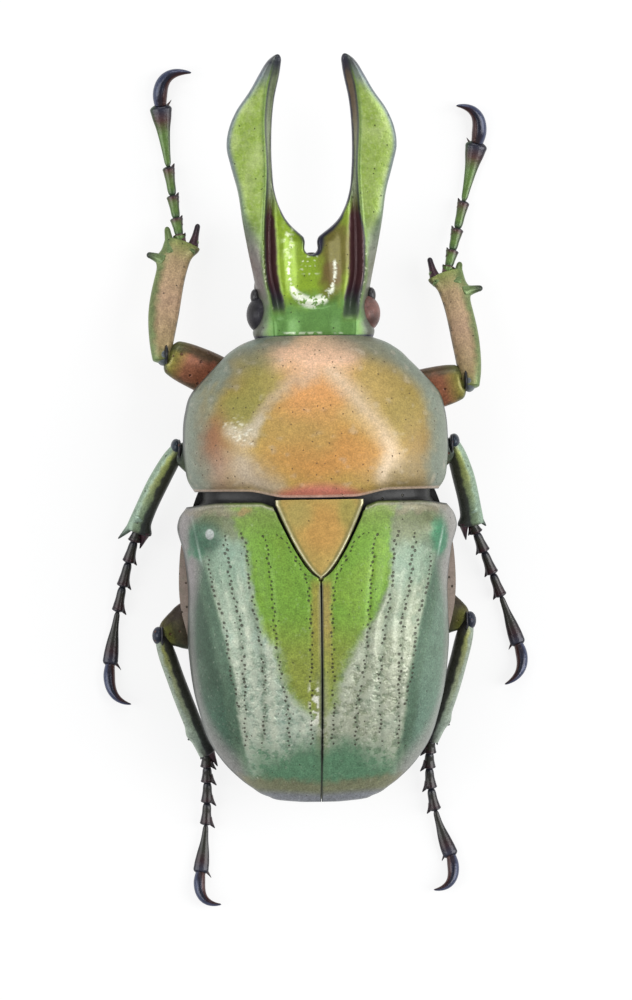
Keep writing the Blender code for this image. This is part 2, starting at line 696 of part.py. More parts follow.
def room_along(name, path, half_widths, half_heights, side):
    """A cutter that leaves a gap all round a limb that starts on this path."""
    back = (path[0] - path[1]).normalized() * GAP
    wider = [half_widths[i] + GAP for i in range(len(path))]
    higher = [half_heights[i] + GAP for i in range(len(path))]
    return limb(name, [path[0] + back, *path[1:]], wider, higher, 10, side)


def tibia_form(leg):
    """The middle line of a tibia, its half sizes at each point and the direction of its outer edge."""
    at = places(leg)
    spec = LEGS[leg]
    forward = (at["ankle"] - at["knee"]).normalized()
    side = Vector((-forward.y, forward.x, 0)).normalized()
    side *= math.copysign(1.0, side.x * at["knee"].x)
    start = at["knee"] + forward * 0.42
    bend = (start + at["ankle"]) / 2 + side * spec["tibia_bow"] * 2
    along = stations(0, 1, TIBIA_POINTS)
    return {
        "path": bent_path(start, bend, at["ankle"], TIBIA_POINTS),
        "widths": np.interp(along, (0.0, 0.35, 0.8, 1.0), spec["tibia_widths"]),
        "heights": np.interp(along, (0.0, 0.3, 1.0), (0.38, 0.36, 0.3)),
        "side": side,
        "forward": forward,
    }


def make_tibia(leg):
    """A flat blade, widest at its end, with outer teeth and apical spurs."""
    form = tibia_form(leg)
    spec = LEGS[leg]
    path, widths = form["path"], form["widths"]
    side, forward = form["side"], form["forward"]
    tibia = limb(leg + "_tibia", path, widths, form["heights"], 10, side)
    pieces = []
    for share, length, lean in spec["teeth"]:
        near = min(int(share * (TIBIA_POINTS - 1)), TIBIA_POINTS - 2)
        place = path[near].lerp(path[near + 1], share * (TIBIA_POINTS - 1) - near)
        width = widths[near]
        outward = (side + forward * lean).normalized()
        base = min(0.27, width * 0.6)
        root_point = place + side * (width - base * 1.3)
        pieces.append(spine(root_point, place + side * width + outward * length, base, 6, spec["blunt"]))
    corner = path[-1] - side * (widths[-1] - 0.16) - forward * 0.25
    tip = path[-1] - side * (widths[-1] + 0.12) + forward * spec["spur"]
    pieces.append(spine(corner, tip, 0.2, 6, spec["blunt"]))
    join(tibia, pieces)
    chain = tarsus_path(leg)[:10]
    radii = [TARSUS_HALF_WIDTH * 1.1] * len(chain)
    cut(tibia, [room_along("ankle_room", chain, radii, radii, side)])
    return tibia


def tarsus_path(leg):
    at = places(leg)
    reach = (at["ankle"] - at["knee"]).normalized()
    return bent_path(at["ankle"] + reach * GAP, at["toe_bend"], at["toe"], TARSUS_POINTS)


def make_tarsus(leg):
    """Five joints in a chain, each narrow at its root, with a pair of spines at its end."""
    fine = tarsus_path(leg)
    shares = [0.0]
    for length in TARSOMERES:
        shares.append(shares[-1] + length)
    path, radii, spines = [], [], []
    for start, end in zip(shares, shares[1:]):
        for inside, swell in ((0.04, 0.72), (0.55, 0.92), (0.93, 1.12)):
            along = (start + (end - start) * inside) * (TARSUS_POINTS - 1)
            near = min(int(along), TARSUS_POINTS - 2)
            path.append(fine[near].lerp(fine[near + 1], along - near))
            radii.append(TARSUS_HALF_WIDTH * swell)
        if shares[0] < start < shares[-2]:
            spines.append((path[-1], (path[-1] - path[-2]).normalized()))
    tarsus = limb(leg + "_tarsus", path, radii, radii, 8)
    pieces = []
    for spot, forward in spines:
        across = Vector((-forward.y, forward.x, 0)).normalized()
        for sign in (-1, 1):
            tip = spot + across * (sign * 0.38) + forward * 0.26
            pieces.append(spine(spot + across * (sign * 0.08) - forward * 0.1, tip, 0.12, 4))
    join(tarsus, pieces)
    stand_on_floor(tarsus)
    return tarsus


def make_claws(leg):
    """A pair of hooks from one root, one above the other."""
    at = places(leg)
    fine = tarsus_path(leg)
    start = at["toe"] + (fine[-1] - fine[-3]).normalized() * GAP
    path = bent_path(start, at["claw_bend"], at["claw_tip"], len(CLAW_RADII))
    claws = limb(leg + "_claws", path, CLAW_RADII, CLAW_RADII, 8, UP)
    rises = stations(0.05, UPPER_CLAW_RISE, len(path))
    upper_path = [point.lerp(path[1], 0.08) + UP * rise for point, rise in zip(path, rises)]
    radii = [radius * UPPER_CLAW_SIZE for radius in CLAW_RADII]
    join(claws, [limb("upper_claw", upper_path, radii, radii, 7, UP)])
    stand_on_floor(claws)
    return claws


# The whole beetle

def make_beetle():
    copper = principled("copper_pronotum", (0.52, 0.26, 0.10), 0.3, 0.7)
    green = principled("green_elytra", (0.16, 0.32, 0.10), 0.25, 0.7)
    scutellum_copper = principled("copper_scutellum", (0.58, 0.30, 0.10), 0.3, 0.7)
    lime = principled("lime_head", (0.30, 0.46, 0.06), 0.25, 0.7)
    lime_horn = principled("lime_horn", (0.36, 0.50, 0.14), 0.28, 0.7)
    eye_brown = principled("eye", (0.10, 0.05, 0.04), 0.2, 0.0)
    dark = principled("dark_feelers", (0.03, 0.02, 0.03), 0.3, 0.1)
    belly = principled("belly", (0.16, 0.15, 0.12), 0.3, 0.6)
    femur_copper = principled("femur", (0.36, 0.14, 0.05), 0.3, 0.6)
    tibia_green = principled("tibia", (0.30, 0.30, 0.18), 0.3, 0.6)
    tarsus_olive = principled("tarsus", (0.08, 0.10, 0.05), 0.25, 0.5)
    claw_black = principled("claws", (0.03, 0.02, 0.04), 0.15, 0.1)

    finish(make_head(), lime)
    for side, word in ((LEFT, "left"), (RIGHT, "right")):
        finish(make_horn("horn_" + word, side), lime_horn)
        centre = Vector((side * EYE_CENTRE.x, EYE_CENTRE.y, EYE_CENTRE.z))
        finish(ellipsoid("eye_" + word, centre, EYE_RADII, 14, 10), eye_brown)
        finish(make_antenna("antenna_" + word, side), dark)
        finish(make_elytron("elytron_" + word, side), green)
    finish(make_mouthparts(), dark)
    finish(make_pronotum(), copper)
    finish(make_scutellum(), scutellum_copper)
    finish(make_thorax(), belly)
    finish(make_abdomen(), belly)
    finish(make_pygidium(), belly)
    for leg in LEGS:
        finish(coxa_body(leg), belly)
        finish(make_femur(leg), femur_copper)
        finish(make_tibia(leg), tibia_green)
        finish(make_tarsus(leg), tarsus_olive)
        finish(make_claws(leg), claw_black)


def centre_on_floor():
    """Puts the middle of the beetle's box over the origin, with its lowest flats at Z = 0."""
    corners = [vertex.co for part in beetle.objects if part.type == "MESH" for vertex in part.data.vertices]
    low = [min(corner[axis] for corner in corners) for axis in range(3)]
    high = [max(corner[axis] for corner in corners) for axis in range(3)]
    root.location = (-(low[0] + high[0]) / 2, -(low[1] + high[1]) / 2, -low[2])
    bpy.context.view_layer.update()


clear_scene()
beetle = bpy.data.collections.new("narycius_opalus")
bpy.context.scene.collection.children.link(beetle)
root = bpy.data.objects.new("body_frame", None)
beetle.objects.link(root)
make_beetle()
centre_on_floor()
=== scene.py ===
# %% [markdown]
# # A horned flower beetle, set as a museum specimen
#
# The beetle is 32 mm long without its legs, and its back is a set of hard, shining plates:
# the head with two long flat horns, the pronotum behind it, a small triangle called the
# scutellum, and the two elytra that cover the wings. The plates are dyed by their own
# structure, so the colour runs from lime through olive and copper to a pearly grey.
#
# The solid model of the beetle is loaded first. It fixes every size and place, and the
# finer pieces made below each take the place of one or more of its solids.

# %% Load the solid model
import math
from types import SimpleNamespace

import bmesh
import bpy
import numpy as np
from mathutils import Matrix, Vector, noise


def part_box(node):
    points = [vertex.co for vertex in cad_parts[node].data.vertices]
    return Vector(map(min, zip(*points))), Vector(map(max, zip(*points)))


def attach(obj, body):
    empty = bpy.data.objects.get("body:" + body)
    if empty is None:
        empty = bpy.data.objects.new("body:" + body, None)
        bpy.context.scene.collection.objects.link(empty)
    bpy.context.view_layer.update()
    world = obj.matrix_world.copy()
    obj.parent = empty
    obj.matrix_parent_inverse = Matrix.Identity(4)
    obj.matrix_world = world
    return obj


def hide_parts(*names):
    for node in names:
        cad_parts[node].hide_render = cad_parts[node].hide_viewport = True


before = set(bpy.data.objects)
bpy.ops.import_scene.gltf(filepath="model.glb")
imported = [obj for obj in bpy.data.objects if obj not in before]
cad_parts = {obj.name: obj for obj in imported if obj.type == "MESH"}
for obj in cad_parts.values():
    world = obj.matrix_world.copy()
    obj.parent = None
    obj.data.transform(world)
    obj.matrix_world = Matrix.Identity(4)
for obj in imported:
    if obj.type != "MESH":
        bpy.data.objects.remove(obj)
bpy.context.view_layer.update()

# %% [markdown]
# ## Millimetres on the body
#
# A beetle is easier to describe in millimetres from a landmark than in metres from the
# middle of its box. Here X runs to the beetle's left, Y runs backwards from the base of
# the pronotum, and Z runs up from the floor. Two solids tell where that landmark is in
# the model. Each piece is shaped in these millimetres and moved into place once, at the end.

# %% From body millimetres to the model's metres
MM = 0.001
HORN_TIP_Y = -18.94
LEFT = 1
RIGHT = -1
SIDES = {"left": LEFT, "right": RIGHT}
horn_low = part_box("horn_left")[0]
plate_low, plate_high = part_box("scutellum")
SHIFT = Vector(((plate_low.x + plate_high.x) / 2, horn_low.y - HORN_TIP_Y * MM, 0.0))
TO_FRAME = Matrix.Translation(SHIFT) @ Matrix.Scale(MM, 4)
print("landmark at", [round(v * 1000, 3) for v in SHIFT], "mm")

# %% [markdown]
# ## Smooth measures
#
# Widths and heights were read at a few places along the body. A smooth curve through them
# gives the measure anywhere, for whole arrays of points at once. Soft steps do the same
# for colours, where one hue gives way to the next.

# %% Curves and soft steps
def smooth_curve(*points):
    """A function of y that runs smoothly through the points (y, value)."""
    spots, values = np.array(points, float).T
    slopes = np.gradient(values, spots)

    def value(y):
        y = np.clip(y, spots[0], spots[-1])
        i = np.clip(np.searchsorted(spots, y, side="right") - 1, 0, len(spots) - 2)
        span = spots[i + 1] - spots[i]
        t = (y - spots[i]) / span
        rise = values[i + 1] - values[i]
        start = slopes[i] * span
        end = slopes[i + 1] * span
        return values[i] + t * (start + t * (3 * rise - 2 * start - end + t * (start + end - 2 * rise)))

    return value


def step(low, high, x):
    """0 below low, 1 above high, and a soft rise between; high may be the smaller one."""
    t = np.clip((x - low) / (high - low), 0.0, 1.0)
    return t * t * (3 - 2 * t)


def bump(distance, half_width):
    """1 on a line and 0 from about twice half_width away."""
    return np.exp(-(distance / half_width) ** 2)


print("half a soft step:", round(float(step(0, 1, 0.5)), 2))

# %% [markdown]
# ## Colour by named patches
#
# The plates change hue over their surface without any sharp print, so each piece is
# painted point by point: a ground colour, then patches and bands of named colours laid
# over it with soft edges. The paint is kept as a colour attribute, which moves with the
# mesh and which the materials read. A slow noise bends the patches so that none is round.

# %% Patches and bands
NOISE_GAIN = 1.6
SEED_STRIDE = (7.3, 3.1, 1.7)


def wobble(points, size, seed):
    """A slow noise of about -1 to 1 at each point; size is the length of its waves."""
    offset = Vector([seed * stride for stride in SEED_STRIDE])
    spots = [noise.noise(Vector(point) / size + offset) for point in points]
    return np.array(spots) * NOISE_GAIN


def patch(points, centre, radii, soft=0.6):
    """An oval patch around centre in X and Y, 1 inside and fading out over soft of its radius."""
    dx = (points[:, 0] - centre[0]) / radii[0]
    dy = (points[:, 1] - centre[1]) / radii[1]
    return step(1 + soft / 2, 1 - soft / 2, np.hypot(dx, dy))


def line_distance(points, line):
    """Distance in X and Y from each point to a line through several spots."""
    spots = np.array(line, float)
    nearest = np.full(len(points), 1e9)
    for start, end in zip(spots, spots[1:]):
        reach = end - start
        along = np.clip((points[:, :2] - start) @ reach / (reach @ reach), 0.0, 1.0)
        nearest = np.minimum(nearest, np.hypot(*(points[:, :2] - start - along[:, None] * reach).T))
    return nearest


def band(points, line, half_width, soft=0.5):
    """A soft stripe along a line."""
    return step(half_width * (1 + soft), half_width * (1 - soft), line_distance(points, line))


three_spots = np.array([[0.0, 0, 0], [1, 0, 0], [2, 0, 0]])
print("a patch fades from", *np.round(patch(three_spots, (0, 0), (1, 1)), 2))

# %% Laying paint
def ground(points, colour):
    """One colour for every point."""
    return np.tile(np.array(colour, float), (len(points), 1))


def lay(paint, mask, colour):
    """Lays a colour over the paint where the mask says."""
    return paint + (np.array(colour) - paint) * np.clip(mask, 0.0, 1.0)[:, None]


def lay_all(paint, layers):
    """Lays several colours one after another; a layer is a mask and its colour."""
    for mask, colour in layers:
        paint = lay(paint, mask, colour)
    return paint


def lay_parts(paint, fields, parts):
    """Lays the colours of several parts; a part makes its layers from the fields of a piece."""
    for part in parts:
        paint = lay_all(paint, part(fields))
    return paint


half_covered = lay(ground(three_spots, (1, 0, 0)), np.full(3, 0.5), (0, 0, 1))
print("blue laid over red by half:", *half_covered[0])

# %% [markdown]
# ## Sheets and pulled spheres
#
# Two starting meshes are enough for the whole animal. A grid of small squares is bent into
# a plate such as an elytron. A sphere of rings is pulled out along a line, ring by ring,
# into a closed body: a leg joint, a horn or the pronotum. Its two poles close the ends, so
# nothing is left open, and the rings can be as fine as the detail needs.

# %% The two starting meshes
def mesh_points(mesh):
    points = np.empty(len(mesh.vertices) * 3)
    mesh.vertices.foreach_get("co", points)
    return points.reshape(-1, 3)


def to_mesh(name, body):
    mesh = bpy.data.meshes.new(name)
    body.to_mesh(mesh)
    body.free()
    return mesh


def sheet(name, columns, rows):
    """A flat grid, and for each of its points the share across and the share along."""
    body = bmesh.new()
    bmesh.ops.create_grid(body, x_segments=columns, y_segments=rows, size=1.0)
    mesh = to_mesh(name, body)
    flat = mesh_points(mesh)
    across = np.round((flat[:, 0] + 1) / 2 * columns) / columns
    along = np.round((flat[:, 1] + 1) / 2 * rows) / rows
    return mesh, across, along


def ringed_sphere(name, rings, around):
    """A sphere, and for each of its points the share from pole to pole and the share of a turn."""
    body = bmesh.new()
    bmesh.ops.create_uvsphere(body, u_segments=around, v_segments=rings, radius=1.0)
    mesh = to_mesh(name, body)
    ball = mesh_points(mesh)
    along = np.round(np.arccos(np.clip(-ball[:, 2], -1, 1)) / math.pi * rings) / rings
    turn = np.round(np.arctan2(ball[:, 1], ball[:, 0]) / (2 * math.pi) * around) / around % 1.0
    return mesh, along, turn


print("starting meshes: a grid and a sphere of rings")

# %% [markdown]
# A starting mesh is bent by giving each of its points a new place. A sphere may come out
# turned inside out, so its faces are pointed outwards again after that. Colours and other
# values that the materials read are stored with the points, so they stay in place when the
# mesh is moved, joined to another or given a thickness.

# %% Bending meshes and storing values
def bend(mesh, points):
    mesh.vertices.foreach_set("co", np.asarray(points, float).ravel())
    mesh.update()


def turn_outwards(mesh):
    """Points the faces of a closed mesh outwards."""
    body = bmesh.new()
    body.from_mesh(mesh)
    bmesh.ops.recalc_face_normals(body, faces=body.faces)
    if body.calc_volume(signed=True) < 0:
        bmesh.ops.reverse_faces(body, faces=body.faces)
    body.to_mesh(mesh)
    body.free()


def pulled_body(name, shape, rings, around):
    """A sphere pulled to the places that shape gives; also those places and the turns."""
    mesh, along, turn = ringed_sphere(name, rings, around)
    points = shape(along, turn)
    bend(mesh, points)
    turn_outwards(mesh)
    print(name, "from", *np.round(points.min(0), 2), "to", *np.round(points.max(0), 2), "mm")
    return mesh, points, turn


def store_paint(mesh, paint):
    """Keeps a colour for each point of the mesh."""
    layer = mesh.attributes.new("paint", "FLOAT_COLOR", "POINT")
    colours = np.column_stack((np.clip(paint, 0, 1), np.ones(len(paint))))
    layer.data.foreach_set("color", colours.ravel())


def store(mesh, name, values):
    """Keeps three numbers for each point of the mesh."""
    layer = mesh.attributes.new(name, "FLOAT_VECTOR", "POINT")
    layer.data.foreach_set("vector", np.column_stack(values).ravel())


print("meshes can be bent and can store values")

# %% [markdown]
# A mesh becomes an object with smooth faces, and only the edges of plates stay sharp. The
# object stays at the origin: its mesh is moved into the model's frame once, when it is
# dressed. Three calls then say which body it rides on, which solids it replaces and which
# finish it wears.

# %% From a mesh to a piece of the model
def as_object(mesh, sharp=50):
    piece = bpy.data.objects.new(mesh.name, mesh)
    bpy.context.scene.collection.objects.link(piece)
    mesh.shade_smooth()
    mesh.set_sharp_from_angle(angle=math.radians(sharp))
    return piece


def unite(name, pieces):
    """Makes one object of several."""
    with bpy.context.temp_override(active_object=pieces[0], selected_editable_objects=pieces):
        bpy.ops.object.join()
    pieces[0].name = name
    pieces[0].data.name = name
    return pieces[0]


def thicken(piece, thickness):
    """Gives a sheet its thickness, in millimetres, on its inner side."""
    shell = piece.modifiers.new("shell", "SOLIDIFY")
    shell.thickness = thickness * MM
    shell.offset = -1.0


def dress(piece, material, slot, *nodes):
    """Moves a finished piece into the model's frame in place of its solids."""
    piece.data.transform(TO_FRAME)
    piece.data.materials.clear()
    piece.data.materials.append(material)
    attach(piece, "root")
    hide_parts(*nodes)
    print(piece.name, "triangles", sum(len(face.vertices) - 2 for face in piece.data.polygons))


print("pieces ride on the root body, because a dried beetle is stiff")

# %% [markdown]
# ## The finish of the cuticle
#
# A beetle's cuticle is a hard film over fine layers that bend light, so it looks like metal
# under lacquer, yet softer: partly metal, satin rather than bright, with a thin clear coat.
# Image textures could give that, but nodes that read the place on the body work at any
# size and leave no seam. These helpers make a node, set what is given as a number on its
# sockets and link what comes from another node.

# %% Helpers for nodes
def add(tree, kind, inputs=None, **settings):
    """A shader node. Values in inputs are set on its sockets, and sockets are linked to them."""
    made = tree.nodes.new("ShaderNode" + kind)
    for setting, value in settings.items():
        setattr(made, setting, value)
    for key, value in (inputs or {}).items():
        if isinstance(value, bpy.types.NodeSocket):
            tree.links.new(value, made.inputs[key])
        else:
            made.inputs[key].default_value = value
    return made


def maths(tree, operation, first, second=0.0, third=0.0):
    inputs = {0: first, 1: second}
    if operation in ("MULTIPLY_ADD", "COMPARE"):
        inputs[2] = third
    return add(tree, "Math", inputs, operation=operation).outputs[0]


def times(tree, first, second):
    return maths(tree, "MULTIPLY", first, second)


def mix_colour(tree, share, first, second, blend="MIX"):
    inputs = {0: share, 6: first, 7: second}
    return add(tree, "Mix", data_type="RGBA", blend_type=blend, inputs=inputs).outputs[2]


def fade(tree, value, low, high):
    """A soft 0 to 1 as value goes from low to high."""
    made = add(tree, "MapRange", {"Value": value, "From Min": low, "From Max": high},
               interpolation_type="SMOOTHSTEP")
    return made.outputs["Result"]


def stored(tree, name, output="Vector"):
    """What the mesh stores for each point under this name."""
    return add(tree, "Attribute", attribute_name=name, attribute_type="GEOMETRY").outputs[output]


def body_place(tree):
    """The place on the body in millimetres."""
    spot = add(tree, "TexCoord").outputs["Object"]
    shift = tuple(-v / MM for v in SHIFT)
    inputs = {"Vector": spot, "Location": shift, "Scale": (1 / MM, 1 / MM, 1 / MM)}
    return add(tree, "Mapping", inputs).outputs[0]


def new_material(name):
    """A material, its node tree and the one shader in it."""
    material = bpy.data.materials.new(name)
    material.use_nodes = True
    return material, material.node_tree, material.node_tree.nodes["Principled BSDF"]


def set_sockets(shader, values):
    for socket, value in values.items():
        shader.inputs[socket].default_value = value


print("node helpers ready")

# %% [markdown]
# The punctures are tiny pits. A cell pattern scatters them, and only the cells whose random
# number is low carry one, so that their spacing is uneven. Where a plate is hammered, its
# stored texture says how strongly. A second cell pattern, pushed about by a noise, gives
# the dents, with pale seams between them and darker hollows: the pale is a painted
# highlight and the dark is painted shade.

# %% Scattered punctures and dents
HAMMER_SPACING = 0.36
HAMMER_DEPTH = 4.5
# A painted highlight on the seams of the dents and painted shade in their hollows.
SEAM_HIGHLIGHT = (0.35, 0.95, 0.34, (0.66, 0.68, 0.55, 1.0))
HOLLOW_SHADE = (0.3, 0.0, 0.35, (0.13, 0.19, 0.13, 1.0))


def scattered_pits(tree, place, spacing, radius, share):
    """1 in round pits of about that radius, in a share of the cells of a random pattern."""
    cells = add(tree, "TexVoronoi", {"Vector": place, "Scale": 1 / spacing, "Randomness": 0.9})
    number = add(tree, "SeparateColor", {"Color": cells.outputs["Color"]}).outputs[0]
    chosen = maths(tree, "LESS_THAN", number, share)
    size = radius / spacing
    round_pit = fade(tree, cells.outputs["Distance"], size * 1.3, size * 0.7)
    return times(tree, round_pit, chosen)


def dents(tree, place, spacing):
    """Soft dents, 0 at their bottoms and about 1 on the seams between them."""
    warp = add(tree, "TexNoise", {"Vector": place, "Scale": 1.5 / spacing, "Detail": 1.0})
    push = {0: warp.outputs["Color"], 1: (0.6, 0.6, 0.6), 2: place}
    moved = add(tree, "VectorMath", push, operation="MULTIPLY_ADD").outputs[0]
    cells = add(tree, "TexVoronoi", {"Vector": moved, "Scale": 1 / spacing, "Randomness": 1.0})
    return fade(tree, cells.outputs["Distance"], 0.05, 0.75)


def hammer(tree, place, toned, height):
    """Adds the dents to a colour and a height, as strongly as the stored texture says, with a painted
    highlight on the seams and painted shade in the hollows.
    """
    strength = add(tree, "SeparateXYZ", {0: stored(tree, "texture")}).outputs[0]
    seams = dents(tree, place, HAMMER_SPACING)
    rise = times(tree, times(tree, seams, strength), HAMMER_DEPTH)
    for low, high, share, colour in (SEAM_HIGHLIGHT, HOLLOW_SHADE):
        where = times(tree, fade(tree, seams, low, high), strength)
        toned = mix_colour(tree, times(tree, where, share), toned, colour)
    return toned, maths(tree, "ADD", height, rise)


print("dents lie about", HAMMER_SPACING, "mm apart")

# %% [markdown]
# The elytra carry their punctures in long rows. Each point of an elytron knows how far it
# lies from the nearest row and on which side, how far along it is, and which row that is.
# Along the row the distance is cut into equal steps, and each step gets one pit, shifted a
# little both ways by random numbers of its own. About one step in five stays empty.

# %% Punctures in rows
ROW_STEP = 0.19
PITS_PRESENT = 0.82


def row_pits(tree):
    """1 in the pits of the rows that the stored row describes."""
    parts = add(tree, "SeparateXYZ", {0: stored(tree, "row")})
    away, along, index = parts.outputs[0], parts.outputs[1], parts.outputs[2]
    row_number = maths(tree, "ROUND", index)
    on_one_row = maths(tree, "COMPARE", index, row_number, 0.02)
    seed = add(tree, "CombineXYZ", {0: maths(tree, "FLOOR", along), 1: row_number}).outputs[0]
    chance = add(tree, "TexWhiteNoise", {"Vector": seed}, noise_dimensions="3D")
    pick = add(tree, "SeparateColor", {"Color": chance.outputs["Color"]})
    shift = maths(tree, "MULTIPLY_ADD", pick.outputs[0], 0.4, -0.7)
    lengthways = times(tree, maths(tree, "ADD", maths(tree, "FRACT", along), shift), ROW_STEP)
    sideways = maths(tree, "ADD", away, maths(tree, "MULTIPLY_ADD", pick.outputs[1], 0.14, -0.07))
    square = maths(tree, "ADD", times(tree, lengthways, lengthways), times(tree, sideways, sideways))
    size = maths(tree, "MULTIPLY_ADD", pick.outputs[2], 0.026, 0.026)
    inside = maths(tree, "SUBTRACT", size, maths(tree, "SQRT", square))
    present = maths(tree, "LESS_THAN", chance.outputs["Value"], PITS_PRESENT)
    return times(tree, times(tree, fade(tree, inside, -0.024, 0.012), present), on_one_row)


print("rows have a place for a puncture every", ROW_STEP, "mm")

# %% [markdown]
# All the plates share one finish with different amounts. The stored paint is the colour. A
# fine grain and a broader mottling lighten and darken it, and the same two noises give the
# height that breaks up the reflections, in the clear coat as well. The punctures are painted
# dark, as the shade in them, and are far deeper than the grain is high.

# %% The cuticle material
GRAIN_SIZE = 0.07
MOTTLE_SHARE = 0.28
PIT_DEPTH = 5.0
# The pits are painted dark, as the shade that lies in them.
PIT_DARKNESS = 0.85
PIT_SHADOW_BROWN = (0.035, 0.03, 0.015, 1.0)


def lighten(tree, value, amount):
    """A factor around 1 that follows a noise of about 0.5."""
    return maths(tree, "MULTIPLY_ADD", value, 2 * amount, 1 - amount)


def cuticle(name, metallic, roughness, coat, pit_spacing, pit_radius, pit_share,
            grain=0.24, relief=0.006, pit_shade=PIT_SHADOW_BROWN, hammered=False, rows=False):
    """The finish of a painted plate: its stored paint, a grain, punctures and dents."""
    material, tree, shader = new_material(name)
    place = body_place(tree)
    fine = add(tree, "TexNoise", {"Vector": place, "Scale": 1 / GRAIN_SIZE, "Detail": 2.0}).outputs[0]
    broad = {"Vector": place, "Scale": MOTTLE_SHARE / GRAIN_SIZE, "Detail": 3.0}
    mottle = add(tree, "TexNoise", broad).outputs[0]
    light = times(tree, lighten(tree, fine, 1.6 * grain), lighten(tree, mottle, 0.9 * grain))
    grey = add(tree, "CombineColor", {0: light, 1: light, 2: light}).outputs[0]
    toned = mix_colour(tree, 1.0, stored(tree, "paint", "Color"), grey, "MULTIPLY")
    height = maths(tree, "MULTIPLY_ADD", fine, 0.9, mottle)
    pits = scattered_pits(tree, place, pit_spacing, pit_radius, pit_share)
    if rows:
        pits = maths(tree, "MAXIMUM", pits, row_pits(tree))
    if hammered:
        toned, height = hammer(tree, place, toned, height)
    shaded = mix_colour(tree, times(tree, pits, PIT_DARKNESS), toned, pit_shade)
    gloss = maths(tree, "MULTIPLY_ADD", mottle, 0.2, roughness - 0.1)
    depth = maths(tree, "MULTIPLY_ADD", pits, -PIT_DEPTH, height)
    bumps = add(tree, "Bump", {"Height": depth, "Distance": relief * MM, "Strength": 1.0}).outputs[0]
    for source, socket in ((shaded, "Base Color"), (gloss, "Roughness"), (bumps, "Normal"),
                           (bumps, "Coat Normal")):
        tree.links.new(source, shader.inputs[socket])
    set_sockets(shader, {"Metallic": metallic, "Coat Weight": coat, "Coat Roughness": 0.22})
    return material


print("the grain of the cuticle is", GRAIN_SIZE, "mm fine")

# %% [markdown]
# ## The pronotum
#
# The shield behind the head is one vault, widest at its middle, with its front corners cut
# back round the head and its base bowed to fit the scutellum. It could be carved out of a
# cube, but its outline has to be exact. So it is a pulled sphere whose sections are half a
# superellipse above and a shallow keel below.

# %% Measures of the pronotum
PRONOTUM_FRONT_Y = -6.92
PRONOTUM_WIDEST = 5.66
pronotum_half_width = smooth_curve(
    (-6.92, 2.3), (-6.7, 2.95), (-6.4, 3.48), (-5.8, 4.12), (-5.1, 4.78), (-4.5, 5.28),
    (-3.6, 5.56), (-2.4, 5.66), (-1.2, 5.6), (-0.4, 5.44), (0.0, 5.2))
pronotum_top = smooth_curve((-6.92, 5.5), (-6.3, 6.1), (-5.0, 6.8), (-3.0, 7.4), (-1.0, 7.6), (0.0, 7.45))
pronotum_margin = smooth_curve((-6.92, 4.3), (-5.0, 3.95), (-3.0, 3.8), (-1.0, 4.2), (0.0, 4.45))
pronotum_under = smooth_curve((-6.92, 2.9), (-5.0, 2.4), (-2.0, 2.35), (0.0, 2.7))
PRONOTUM_ROUNDNESS = 2.3
FRONT_BOW = 0.16
BASE_BOW = 0.33
print("pronotum", 2 * PRONOTUM_WIDEST, "mm wide and", -PRONOTUM_FRONT_Y, "mm long")

# %% Vaults, rings and the bow of the base
def vault(x, half_width, top, margin, roundness):
    """Height of a superellipse vault at x."""
    share = np.clip(np.abs(x) / half_width, 0.0, 1.0)
    return margin + (top - margin) * (1 - share ** roundness) ** (1 / roundness)


def end_spacing(along, share):
    """Draws the rings of a pulled sphere towards its two ends."""
    return along * (1 - share) + (1 - np.cos(math.pi * along)) / 2 * share


def closed_ends(along, rings, depth):
    """1 along a pulled sphere, and falling to 0 over the last rings before its poles."""
    edge = np.minimum(along, 1 - along) * rings
    return np.clip(edge / depth, 0.0, 1.0) ** 0.5


def base_bow(x):
    """How far the base of the pronotum lies forward of its middle at x."""
    return BASE_BOW * (0.8 * step(1.4, 3.1, np.abs(x)) + 0.2 * np.abs(x) / PRONOTUM_WIDEST)


print("the base bows by", BASE_BOW, "mm at its corners")

# %% [markdown]
# The rim of the base stands over the joint behind it, and the wall below the rim slopes
# forwards. Without that slope a pale wall would show from above beside the black joint.

# %% The pulled shield
PRONOTUM_RINGS = 220
PRONOTUM_COLUMNS = 300
PRONOTUM_CAP = 0.02
TUCK = 0.2


def pronotum_shape(along, turn):
    v = np.clip((end_spacing(along, 0.35) - PRONOTUM_CAP) / (1 - 2 * PRONOTUM_CAP), 0.0, 1.0)
    y = PRONOTUM_FRONT_Y * (1 - v)
    width, top = pronotum_half_width(y), pronotum_top(y)
    margin, under = pronotum_margin(y), pronotum_under(y)
    cosine = np.cos(2 * math.pi * turn)
    x_top = width * np.sign(cosine) * np.abs(cosine) ** 0.8
    z_top = vault(x_top, width, top, margin, PRONOTUM_ROUNDNESS)
    z_top = z_top - 0.16 * bump(y, 0.22) - 0.08 * bump(y - PRONOTUM_FRONT_Y, 0.2)
    x_under = width * 0.97 * cosine
    z_under = under + (margin - 0.2 - under) * np.abs(x_under / width) ** 2.2
    upper = turn <= 0.5
    x = np.where(upper, x_top, x_under)
    z = np.where(upper, z_top, z_under)
    closing = closed_ends(along, PRONOTUM_RINGS, 3.0)
    middle = (top + under) / 2
    z = middle + (z - middle) * closing
    roof = vault(np.minimum(np.abs(x * closing), width), width, top, margin, PRONOTUM_ROUNDNESS)
    tucked = TUCK * step(0.35, 0.9, roof - z) * step(0.97, 1.0, v)
    front = FRONT_BOW * (1 - v) * (np.abs(x) / PRONOTUM_WIDEST) ** 2
    return np.column_stack((x * closing, y + front - v * base_bow(x) - tucked, z))


pronotum_mesh, pronotum_points, _ = pulled_body("pronotum_shield", pronotum_shape, PRONOTUM_RINGS,
                                                PRONOTUM_COLUMNS)
